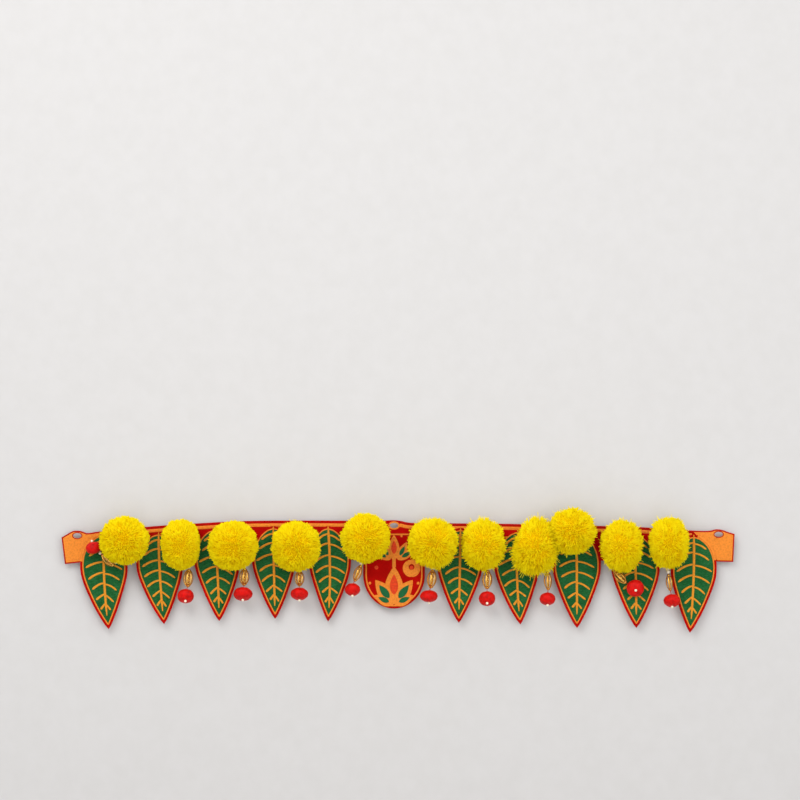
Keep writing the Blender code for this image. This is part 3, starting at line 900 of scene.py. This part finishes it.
class TORAN_OT_band(bpy.types.Operator):
    """Make the arched band, its stitched stripe, end tabs and eyelet rings"""

    bl_idname = "toran.band"
    bl_label = "Band"

    def execute(self, context):
        outline = band_outline()
        cloth = plate(outline, BAND_FRONT_Y, BAND_BACK_Y, 0.4, 9.0)
        made = piece("band_cloth", cloth, ["woven_cloth"])
        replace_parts(made, "band")
        cut_eyelets(made)
        finishes = ["orange_thread", "red_thread"]
        sewn = bmesh.new()
        thread_layer(sewn)
        for run in STRIPE_RUNS:
            path = along_top(*run, STRIPE_BELOW)
            add_to(sewn, stitch_line(path, STRIPE_WIDE, STRIPE_RAISED, BAND_FRONT_Y), 0)
        for run in EDGE_RUNS:
            path = along_top(*run, EDGE_BELOW)
            add_to(sewn, stitch_line(path, EDGE_WIDE, EDGE_RAISED, BAND_FRONT_Y), 1)
        for end in (-1, 1):
            field_of_tab = tab_outline(outline, end)
            add_to(sewn, plate(field_of_tab, TAB_FRONT_Y, SEWN_IN, 0.08, PANEL_CUTS), 0)
        for marks in TAB_MARKS:
            add_to(sewn, stitch_line(marks, blunt(len(marks), 0.9, 0.9), 0.16, -0.22), 1)
        stitched = piece("band_stitching", sewn, finishes)
        cut_eyelets(stitched)
        rings = bmesh.new()
        thread_layer(rings)
        for (x, z), wide, finish in zip(EYELETS, RING_WIDTHS, (1, 0, 1)):
            ring = oval(x, z, EYELET_WIDE + wide, EYELET_HIGH + wide, 40)
            add_to(rings, stitch_line(ring, wide, 0.42, -0.05, True), finish)
        ringed = piece("eyelet_rings", rings, finishes)
        return {"FINISHED"}


# Medallion


def u_outline(inset):
    half = MEDALLION_HALF - inset
    corner = MEDALLION_CORNER - inset
    deep = MEDALLION_ROUND_Z - MEDALLION_BOTTOM_Z - inset
    line = []
    for i in range(9):
        a = 0.5 * math.pi * i / 8
        x = half - corner + corner * math.sin(a)
        line.append((x, MEDALLION_TOP_Z - MEDALLION_CORNER + corner * math.cos(a)))
    for i in range(37):
        a = math.pi * i / 36
        line.append((half * math.cos(a), MEDALLION_ROUND_Z - deep * math.sin(a)))
    for i in range(9):
        a = 0.5 * math.pi * (8 - i) / 8
        x = -half + corner - corner * math.sin(a)
        line.append((x, MEDALLION_TOP_Z - MEDALLION_CORNER + corner * math.cos(a)))
    return line


def petal(base, angle, length, wide, start=0.0):
    """A pointed petal's outline, from its base out along an angle."""
    way = Vector((math.cos(angle), math.sin(angle)))
    side = Vector((-way.y, way.x))
    edges = []
    for i in range(25):
        t = i / 24
        half = 0.5 * wide * math.sin(math.pi * t ** 0.8) ** 0.85
        middle = Vector(base) + way * (start + length * t)
        edges.append((tuple(middle + side * half), tuple(middle - side * half)))
    return [left for left, _ in edges] + [right for _, right in edges[23:0:-1]]


def scroll(centre, start, turns, outer, inner, mirrored):
    """A spiral path from its outer end to its eye."""
    path = []
    for i in range(41):
        t = i / 40
        a = math.radians(start) + turns * 2 * math.pi * t
        r = outer + (inner - outer) * t
        x = centre[0] + (-1 if mirrored else 1) * r * math.cos(a)
        path.append((x, centre[1] + r * math.sin(a)))
    return path


class TORAN_OT_medallion(bpy.types.Operator):
    """Make the centre panel with a lotus between two scrolls"""

    bl_idname = "toran.medallion"
    bl_label = "Medallion"

    def execute(self, context):
        outline = u_outline(0.0)
        cloth = plate(outline, LEAF_CLOTH_Y, LEAF_BACK_Y, PANEL_RIM, 8.0)
        relax(cloth, 3, 0.25)
        made = piece("medallion_cloth", cloth, ["woven_cloth"])
        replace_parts(made, "medallion")
        base = LEAF_CLOTH_Y
        sewn = bmesh.new()
        thread_layer(sewn)
        border = u_outline(MEDALLION_LINE_INSET)
        add_to(sewn, stitch_line(border, MEDALLION_LINE_WIDE, LINE_RAISED, base, True), 0)
        for index, (angle, length, wide) in enumerate(LOTUS):
            a = math.radians(angle)
            front = base - 0.45 - 0.07 * index
            sewn_pad(sewn, petal(LOTUS_BASE, a, length, wide), front, 0.15, 0)
            inner = petal(LOTUS_BASE, a, length * 0.54, wide * 0.46, length * 0.25)
            sewn_pad(sewn, inner, front - 0.22, 0.12, 2 if angle == 90 else 1)
        for side in (1, -1):
            self.side_pattern(sewn, side, base)
        upright = math.radians(90)
        sewn_pad(sewn, petal(BUD_BASE, upright, 32.0, 14.0), base - 0.62, 0.15, 0)
        sewn_pad(sewn, petal(BUD_BASE, upright, 17.0, 7.0, 8.0), base - 0.85, 0.12, 2)
        stem = [(0.0, -46.0 - 14.0 * t) for t in np.linspace(0, 1, 9)]
        add_to(sewn, stitch_line(stem, blunt(9, 4.6, 5.0), 0.74, base), 0)
        relax(sewn, 3, 0.25)
        finishes = ["orange_thread", "green_thread", "coral_thread"]
        stitched = piece("medallion_stitching", sewn, finishes)
        return {"FINISHED"}

    def side_pattern(self, sewn, side, base):
        """Adds the scroll, the bud's leaves and the dots of one side."""
        (x, z), *curl = SCROLL
        path = scroll((x, z), *curl, side < 0)
        add_to(sewn, stitch_line(path, blunt(41, 6.6, 4.6), 0.7, base), 0)
        sewn_pad(sewn, oval(side * x, z, 5.0, 5.0, 20), base - 0.55, 0.15, 2)
        root = (side * SIDE_LEAF_BASE[0], SIDE_LEAF_BASE[1])
        for place, (turn, reach, wide) in enumerate(SIDE_LEAVES):
            a = math.radians(90 - side * turn)
            front = base - 0.42 - 0.06 * place - (0.02 if side < 0 else 0.0)
            sewn_pad(sewn, petal(root, a, reach, wide), front, 0.15, 0)
            core = petal(root, a, reach * 0.52, wide * 0.5, reach * 0.24)
            sewn_pad(sewn, core, front - 0.2, 0.1, 1)
        for x, z, size in DOTS:
            sewn_pad(sewn, oval(side * x, z, size, size, 16), base - 0.5, 0.12, 0)


# Pompoms


def strand_shape():
    """One yarn end, three-sided, from its root at 0 to its cut end at 1."""
    bm = bmesh.new()
    bmesh.ops.create_cone(
        bm, cap_ends=True, segments=3, radius1=0.5, radius2=0.36, depth=1.0,
        matrix=Matrix.Translation((0, 0, 0.5)),
    )
    bmesh.ops.triangulate(bm, faces=bm.faces)
    verts = np.array([v.co for v in bm.verts])
    faces = np.array([[v.index for v in f.verts] for f in bm.faces])
    bm.free()
    return verts, faces


def spread_directions(count, rng):
    """Directions spread evenly over a ball, each moved a little."""
    i = np.arange(count) + 0.5
    up = 1 - 2 * i / count
    turn = math.pi * (1 + 5 ** 0.5) * i
    flat = np.sqrt(1 - up * up)
    way = np.stack([flat * np.cos(turn), flat * np.sin(turn), up], axis=1)
    way += rng.normal(0, 0.012, way.shape)
    return way / np.linalg.norm(way, axis=1, keepdims=True)


def field(way, scale, seed):
    """Smooth noise over a ball: a scalar and a vector for each direction."""
    spots = [Vector(row) * scale + Vector((seed, 0, 0)) for row in way]
    return np.array([(noise.noise(spot), *noise.noise_vector(spot)) for spot in spots])


def lobe_strands(row, count, wide, seed):
    """Roots, ends and tones of the strands of one ball of yarn, the tones partly random and
    partly painted shade in the hollows.
    """
    _, x, z, across, high, shag, boxy = row
    rng = np.random.default_rng(seed)
    noise.seed_set(seed)
    deep = 0.5 * across * POMPOM_DEPTH_SHARE
    centre = np.array([x, POMPOM_BACK_Y - POMPOM_SUNK_SHARE * deep, z])
    radii = np.array([0.5 * across, deep, 0.5 * high])
    way = spread_directions(count, rng)
    way = way[way[:, 1] < OPEN_BACK]
    count = len(way)
    tuft = field(way, 5.5 - 1.5 * shag, 7.0 * seed)
    broad = field(way, 2.2, 3.0 * seed + 50.0)
    out = way + rng.normal(0, 0.035 + 0.05 * shag, (count, 3))
    out += (0.05 + 0.2 * shag) * tuft[:, 1:4]
    out /= np.linalg.norm(out, axis=1, keepdims=True)
    reach = 0.975 + rng.normal(0, 0.014 + 0.022 * shag, count)
    reach += (0.075 + 0.13 * shag) * tuft[:, 0] + (0.03 + 0.03 * shag) * broad[:, 0]
    wild = rng.random(count) < 0.03 + 0.08 * shag ** 2
    reach[wild] += rng.uniform(0.0, 0.05 + 0.16 * shag ** 2, wild.sum())
    flat = np.maximum(np.hypot(out[:, 0], out[:, 2]), 1e-3)
    square = np.abs(out[:, 0]) ** boxy + np.abs(out[:, 2]) ** boxy
    square = 1 + (flat / np.maximum(square, 1e-6) ** (1 / boxy) - 1) * flat
    reach = np.clip(reach, 0.84, 1.15 + 0.1 * shag)
    ends = centre + out * radii * (reach * square)[:, None]
    roots = centre + way * radii * (0.70 - 0.08 * shag)
    if shag > 0.9:
        low = np.clip(-(way[:, 0] * 0.75 + way[:, 2] * 0.65), 0, 1)
        ends[:, 0] -= 4.0 * low * rng.random(count)
        ends[:, 2] -= 3.0 * low * rng.random(count)
        corner = np.clip(way[:, 2], 0, 1) * np.clip(0.3 - way[:, 0], 0, 1.3)
        ends[:, 0] += 9.0 * corner
        roots[:, 0] += 6.0 * corner
    limit = POMPOM_BACK_Y - 0.6 - rng.random(count) * 0.8
    ends[:, 1] = np.minimum(ends[:, 1], limit)
    roots[:, 1] = np.minimum(roots[:, 1], limit - 0.5)
    # Each strand's tone is partly random and partly painted shade: strands that the tuft and
    # broad noise pull in, into the hollows, are darker
    tones_and_hollow_shade = rng.normal(0.45, 0.2, count) + 1.2 * tuft[:, 0] + 0.3 * broad[:, 0]
    tones_and_hollow_shade = np.clip(tones_and_hollow_shade, 0, 1)
    widths = wide * rng.uniform(0.75, 1.25, count) * (1.0 - 0.18 * shag)
    return roots, ends, widths, tones_and_hollow_shade, (centre, radii)


def strand_mesh(name, sets):
    """All the strands as one mesh, each a turned and stretched copy of the one shape."""
    shape, faces = strand_shape()
    roots, ends, widths, tones_and_hollow_shade = (np.concatenate([s[k] for s in sets]) for k in range(4))
    way = ends - roots
    length = np.linalg.norm(way, axis=1)
    up = way / length[:, None]
    side = np.cross(up, np.array([0.3, 0.2, 0.93]))
    side /= np.linalg.norm(side, axis=1, keepdims=True)
    third = np.cross(up, side)
    points = roots[:, None] + up[:, None] * (shape[None, :, 2:3] * length[:, None, None])
    points += side[:, None] * (shape[None, :, 0:1] * widths[:, None, None])
    points += third[:, None] * (shape[None, :, 1:2] * widths[:, None, None])
    count = len(roots)
    corners = (faces[None] + len(shape) * np.arange(count)[:, None, None]).reshape(-1)
    mesh = bpy.data.meshes.new(name)
    mesh.vertices.add(count * len(shape))
    mesh.vertices.foreach_set("co", (points.reshape(-1) * MM).astype(np.float32))
    mesh.loops.add(len(corners))
    mesh.loops.foreach_set("vertex_index", corners.astype(np.int32))
    mesh.polygons.add(len(corners) // 3)
    mesh.polygons.foreach_set("loop_start", np.arange(0, len(corners), 3, dtype=np.int32))
    tone = np.zeros((count, len(shape), 3), np.float32)
    # Along each strand, 0 at the root to 1 at the cut end; the yarn finish turns the root end
    # into painted shade
    tone[:, :, 0] = shape[None, :, 2]
    tone[:, :, 1] = tones_and_hollow_shade[:, None]
    layer = mesh.attributes.new("strand", "FLOAT_VECTOR", "POINT")
    layer.data.foreach_set("vector", tone.reshape(-1))
    mesh.update(calc_edges=True)
    mesh.validate()
    return mesh


def core_ball(centre, radii):
    """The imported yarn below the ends, seen only between them."""
    bm = bmesh.new()
    bmesh.ops.create_icosphere(bm, subdivisions=4, radius=1.0)
    for vert in bm.verts:
        spot = [centre[k] + vert.co[k] * radii[k] * CORE_SHARE for k in range(3)]
        spot[1] = min(spot[1], POMPOM_BACK_Y - 0.3)
        vert.co = spot
    return bm


class TORAN_OT_pompoms(bpy.types.Operator):
    """Make the ten yarn pompoms strand by strand"""

    bl_idname = "toran.pompoms"
    bl_label = "Pompoms"

    def execute(self, context):
        wide = settings().strand_width / MM
        for name in sorted({row[0] for row in LOBES}):
            sets = []
            yarn_ball = bmesh.new()
            for seed, row in enumerate(LOBES, FIRST_SEED):
                if row[0] == name:
                    *strands, ball = lobe_strands(row, settings().strands, wide, seed)
                    sets.append(strands)
                    add_to(yarn_ball, core_ball(*ball))
            bmesh.ops.scale(yarn_ball, vec=(MM, MM, MM), verts=yarn_ball.verts)
            layer = yarn_ball.verts.layers.float_vector.new("strand")
            # The inner ball takes a dark root tone: painted shade in the gaps between the
            # strands
            for vert in yarn_ball.verts:
                vert[layer] = Vector((0.28, 0.3, 0.0))
            mesh = strand_mesh(name + "_yarn", sets)
            yarn_ball.from_mesh(mesh)
            yarn_ball.to_mesh(mesh)
            yarn_ball.free()
            mesh.materials.append(finish_of("tied_yarn"))
            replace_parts(riding(name + "_yarn", mesh), name)
        return {"FINISHED"}


# Bead drops


def turned(profile, count):
    """A solid spun about Z from radius, height points that start and end on the axis."""
    bm = bmesh.new()
    verts = [bm.verts.new((radius, 0, height)) for radius, height in profile]
    edges = [bm.edges.new(pair) for pair in zip(verts, verts[1:])]
    bmesh.ops.spin(
        bm, geom=verts + edges, cent=(0, 0, 0), axis=(0, 0, 1), angle=2 * math.pi,
        steps=count, use_merge=True,
    )
    bmesh.ops.remove_doubles(bm, verts=bm.verts, dist=0.002)
    bmesh.ops.recalc_face_normals(bm, faces=bm.faces)
    return bm


def turn_to(centre, axis):
    """The matrix that takes local Z to the axis and local X into the plane of the cloth."""
    up = axis.normalized()
    side = Vector((0, 1, 0)).cross(up)
    side = side.normalized() if side.length > 1e-3 else Vector((1, 0, 0))
    turn = Matrix((side, up.cross(side), up)).transposed().to_4x4()
    return Matrix.Translation(centre) @ turn


def placed(bm, centre, axis):
    bmesh.ops.transform(bm, matrix=turn_to(centre, axis), verts=bm.verts)
    return bm


def bead_profile(radius, centre, hole, steps=10):
    """Half of a round bead's outline with a small flat at each end."""
    points = []
    for i in range(steps + 1):
        a = math.pi * i / steps
        points.append((max(hole, radius * math.sin(a)), centre - radius * math.cos(a)))
    return points


def red_centre(row):
    """Middle and axis of a red bead, from the drops table."""
    x, z, wide, tilt = row[5:]
    lean = math.radians(tilt)
    reach = math.hypot(0.5 * wide * math.cos(lean), 0.5 * RED_BEAD_HIGH * math.sin(lean))
    axis = Vector((0.0, math.sin(lean), math.cos(lean)))
    return Vector((x, POMPOM_BACK_Y - 0.3 - reach, z)), axis


class TORAN_OT_red_beads(bpy.types.Operator):
    """Make the flocked red beads with their cream stopper beads"""

    bl_idname = "toran.red_beads"
    bl_label = "Red Beads"

    def execute(self, context):
        half = 0.5 * RED_BEAD_HIGH
        for number, row in enumerate(DROPS, 1):
            centre, axis = red_centre(row)
            if number == FLIPPED_DROP:
                axis = Vector((0.2, 0.1, -0.97)).normalized()
            wide = row[7]
            profile = [(0.0, -half + 1.0), (0.9, -half + 0.35)]
            for i in range(1, 24):
                a = math.pi * i / 24
                squash = math.sin(a) ** 0.92
                profile.append((0.5 * wide * squash, -half * math.cos(a)))
            profile += [(0.9, half - 0.35), (0.0, half - 1.0)]
            bm = bmesh.new()
            body = turned(profile, 40)
            for vert in body.verts:
                swell = 1.0 + 0.012 * math.sin(vert.co.x * 0.9 + number)
                vert.co *= swell + 0.008 * math.cos(vert.co.y * 1.3 - vert.co.z)
            add_to(bm, placed(body, centre, axis), 0)
            stop = [(0.0, -half - 2.7)]
            stop += bead_profile(STOPPER_RADIUS, -half - 1.0, 0.3)[1:-1]
            stop += [(0.0, -half + 0.75)]
            add_to(bm, placed(turned(stop, 20), centre, axis), 1)
            finishes = ["flocked_red", "pearl_coat"]
            made = piece(f"red_drop_{number:02d}", bm, finishes)
            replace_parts(made, f"red_bead_{number:02d}")
        return {"FINISHED"}


def rib(angle, length):
    """One rib of a cage bead: round wire bent from cup to cup."""
    path = []
    for i in range(13):
        t = -1 + 2 * i / 12
        out = 1.9 + 3.75 * (1 - abs(t) ** 2.1)
        path.append((out, t * 0.44 * length))
    bm = bmesh.new()
    rings = []
    for i, (out, high) in enumerate(path):
        low = path[max(i - 1, 0)]
        top = path[min(i + 1, 12)]
        way = Vector((top[0] - low[0], 0, top[1] - low[1])).normalized()
        side = Vector((way.z, 0, -way.x))
        t = abs(-1 + 2 * i / 12)
        wide = 1.15 - 0.45 * t
        ring = []
        for k in range(8):
            a = 2 * math.pi * k / 8
            spot = Vector((out, 0, high)) + side * (0.42 * math.cos(a))
            ring.append(bm.verts.new(spot + Vector((0, wide * math.sin(a), 0))))
        rings.append(ring)
    for low, top in zip(rings, rings[1:]):
        for k in range(8):
            j = (k + 1) % 8
            bm.faces.new((low[k], low[j], top[j], top[k]))
    bm.faces.new(rings[0])
    bm.faces.new(rings[-1])
    bmesh.ops.recalc_face_normals(bm, faces=bm.faces)
    bmesh.ops.rotate(bm, cent=(0, 0, 0), matrix=Matrix.Rotation(angle, 3, "Z"), verts=bm.verts)
    return bm


def cage_mesh(length, wide):
    """Cups, ribs and a beaded core, standing on Z about its middle."""
    half = 0.5 * length
    bm = bmesh.new()
    for way in (1, -1):
        end = turned(CUP, 24)
        if way < 0:
            flip = Matrix.Rotation(math.pi, 3, "X")
            bmesh.ops.rotate(end, cent=(0, 0, 0), matrix=flip, verts=end.verts)
        bmesh.ops.translate(end, vec=(0, 0, -way * half), verts=end.verts)
        add_to(bm, end)
        for k in range(GRAINS):
            a = 2 * math.pi * k / GRAINS
            spot = (2.45 * math.cos(a), 2.45 * math.sin(a), -way * (half - 2.4))
            grain = bmesh.new()
            bmesh.ops.create_icosphere(
                grain, subdivisions=2, radius=0.42, matrix=Matrix.Translation(spot)
            )
            add_to(bm, grain)
    ribs = settings().cage_ribs
    for k in range(ribs):
        add_to(bm, rib(2 * math.pi * (k + 0.25) / ribs, length))
    room = length - 5.0
    core = [(0.0, -0.5 * room - 0.5)]
    for k in range(CORE_BEADS):
        middle = -0.5 * room + room * (k + 0.5) / CORE_BEADS
        core += bead_profile(min(1.9, 0.5 * room / CORE_BEADS), middle, 0.45, 8)
    core += [(0.0, 0.5 * room + 0.5)]
    add_to(bm, turned(core, 16))
    bmesh.ops.scale(bm, vec=(wide / 12.0, CAGE_DEPTH / 12.0, 1.0), verts=bm.verts)
    return bm


class TORAN_OT_cages(bpy.types.Operator):
    """Make the gold openwork cage beads on their threads"""

    bl_idname = "toran.cages"
    bl_label = "Cage Beads"

    def execute(self, context):
        for number, row in enumerate(DROPS, 1):
            top = Vector((row[0], CAGE_Y, row[1]))
            low = Vector((row[2], CAGE_Y, row[3]))
            axis = (top - low).normalized()
            length = (top - low).length
            bm = bmesh.new()
            add_to(bm, placed(cage_mesh(length, row[4]), 0.5 * (top + low), axis))
            centre, lean = red_centre(row)
            target = centre + lean * (0.5 * RED_BEAD_HIGH - 1.5)
            if number == FLIPPED_DROP:
                pearl = bmesh.new()
                spot = turn_to(low - axis * 2.9, axis)
                bmesh.ops.create_uvsphere(
                    pearl, u_segments=20, v_segments=12, radius=1.95, matrix=spot
                )
                add_to(bm, pearl, 1)
                target = centre + Vector((5.0, 2.0, -4.0))
            add_to(bm, thread_between(low + axis * 1.0, target), 2)
            finishes = ["polished_gold", "pearl_coat", "red_thread"]
            made = piece(f"cage_bead_{number:02d}", bm, finishes)
            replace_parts(made, f"cage_{number:02d}")
        return {"FINISHED"}


def thread_between(start, end):
    """A short run of doubled thread between two beads."""
    way = end - start
    bm = bmesh.new()
    bmesh.ops.create_cone(
        bm, cap_ends=True, segments=8, radius1=THREAD_RADIUS, radius2=THREAD_RADIUS,
        depth=way.length, matrix=turn_to(0.5 * (start + end), way),
    )
    return bm


class TORAN_OT_pearls(bpy.types.Operator):
    """Make the pearls under each pompom, on their thread"""

    bl_idname = "toran.pearls"
    bl_label = "Pearls"

    def execute(self, context):
        for number, (x, z, lean, length, beads) in enumerate(PEARLS, 1):
            a = math.radians(lean)
            way = Vector((math.sin(a), 0.0, math.cos(a)))
            start = Vector((x, CAGE_Y, z))
            bm = bmesh.new()
            for radius, high in beads:
                pearl = bmesh.new()
                bmesh.ops.create_uvsphere(
                    pearl, u_segments=24, v_segments=16, radius=radius,
                    matrix=turn_to(start + way * high, way),
                )
                add_to(bm, pearl)
            add_to(bm, thread_between(start, start + way * length), 1)
            finishes = ["pearl_coat", "red_thread"]
            made = piece(f"pearl_string_{number:02d}", bm, finishes)
            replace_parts(made, f"pearls_{number:02d}")
        return {"FINISHED"}


# Stage


def stage_plane(name, place, size, tilt=0.0):
    """A flat sheet of backdrop; a tilt of a quarter turn stands it up to face the front."""
    turn = Matrix.Rotation(tilt, 4, "X") @ Matrix.Diagonal((*size, 1.0, 1.0))
    bm = bmesh.new()
    bmesh.ops.create_grid(
        bm, x_segments=1, y_segments=1, size=0.5, matrix=Matrix.Translation(place) @ turn
    )
    mesh = bpy.data.meshes.new(name)
    bm.to_mesh(mesh)
    bm.free()
    mesh.materials.append(finish_of("stage_paper"))
    linked(name, mesh)


def area_light(name, place, size, power):
    """A soft light aimed at the hanging."""
    data = bpy.data.lights.new(name, "AREA")
    data.shape = "RECTANGLE"
    data.size, data.size_y = size
    data.energy = power
    made = linked(name, data)
    made.location = place
    way = Vector(LIT_PLACE) - Vector(place)
    made.rotation_euler = way.to_track_quat("-Z", "Y").to_euler()


class TORAN_OT_stage(bpy.types.Operator):
    """Make the pale wall and floor, the soft lights and the camera"""

    bl_idname = "toran.stage"
    bl_label = "Stage"

    def execute(self, context):
        high = WALL_TOP_Z - FLOOR_Z
        deep = FLOOR_DEEP + WALL_Y
        middle = (0.0, WALL_Y, FLOOR_Z + 0.5 * high)
        stage_plane("stage_wall", middle, (STAGE_WIDE, high), math.radians(90))
        stage_plane("stage_floor", (0.0, WALL_Y - 0.5 * deep, FLOOR_Z), (STAGE_WIDE, deep))
        for light in LIGHTS:
            area_light(*light)
        scene = context.scene
        world = bpy.data.worlds.new("soft_studio")
        world.use_nodes = True
        sky = world.node_tree.nodes["Background"].inputs
        sky["Color"].default_value = (1.0, 1.0, 1.0, 1.0)
        sky["Strength"].default_value = SKY_STRENGTH
        scene.world = world
        scene.view_settings.view_transform = "Standard"
        scene.view_settings.look = "None"
        lens = bpy.data.cameras.new("photo_camera")
        lens.lens = CAMERA_LENS
        lens.sensor_width = 36.0
        lens.clip_end = 20.0
        camera = linked("photo_camera", lens)
        camera.location = CAMERA_PLACE
        camera.rotation_euler = (math.radians(90), 0.0, 0.0)
        scene.camera = camera
        return {"FINISHED"}


class TORAN_PT_panel(bpy.types.Panel):
    """The sidebar panel with the sizes, colours and pieces"""

    bl_idname = "TORAN_PT_panel"
    bl_label = "Toran"
    bl_space_type = "VIEW_3D"
    bl_region_type = "UI"
    bl_category = "Toran"

    def draw(self, context):
        for key in ToranSettings.__annotations__:
            self.layout.prop(context.scene.toran, key)
        for step in STEPS:
            self.layout.operator(step.bl_idname)


STEPS = (
    TORAN_OT_band,
    TORAN_OT_leaves,
    TORAN_OT_medallion,
    TORAN_OT_pompoms,
    TORAN_OT_cages,
    TORAN_OT_red_beads,
    TORAN_OT_pearls,
    TORAN_OT_stage,
)
CLASSES = (ToranSettings, *STEPS, TORAN_PT_panel)


def register():
    for item in CLASSES:
        bpy.utils.register_class(item)
    bpy.types.Scene.toran = bpy.props.PointerProperty(type=ToranSettings)


def unregister():
    del bpy.types.Scene.toran
    for item in reversed(CLASSES):
        bpy.utils.unregister_class(item)


def main():
    register()
    bpy.ops.toran.band()
    bpy.ops.toran.leaves()
    bpy.ops.toran.medallion()
    bpy.ops.toran.pompoms()
    bpy.ops.toran.cages()
    bpy.ops.toran.red_beads()
    bpy.ops.toran.pearls()
    bpy.ops.toran.stage()


if __name__ == "__main__":
    main()
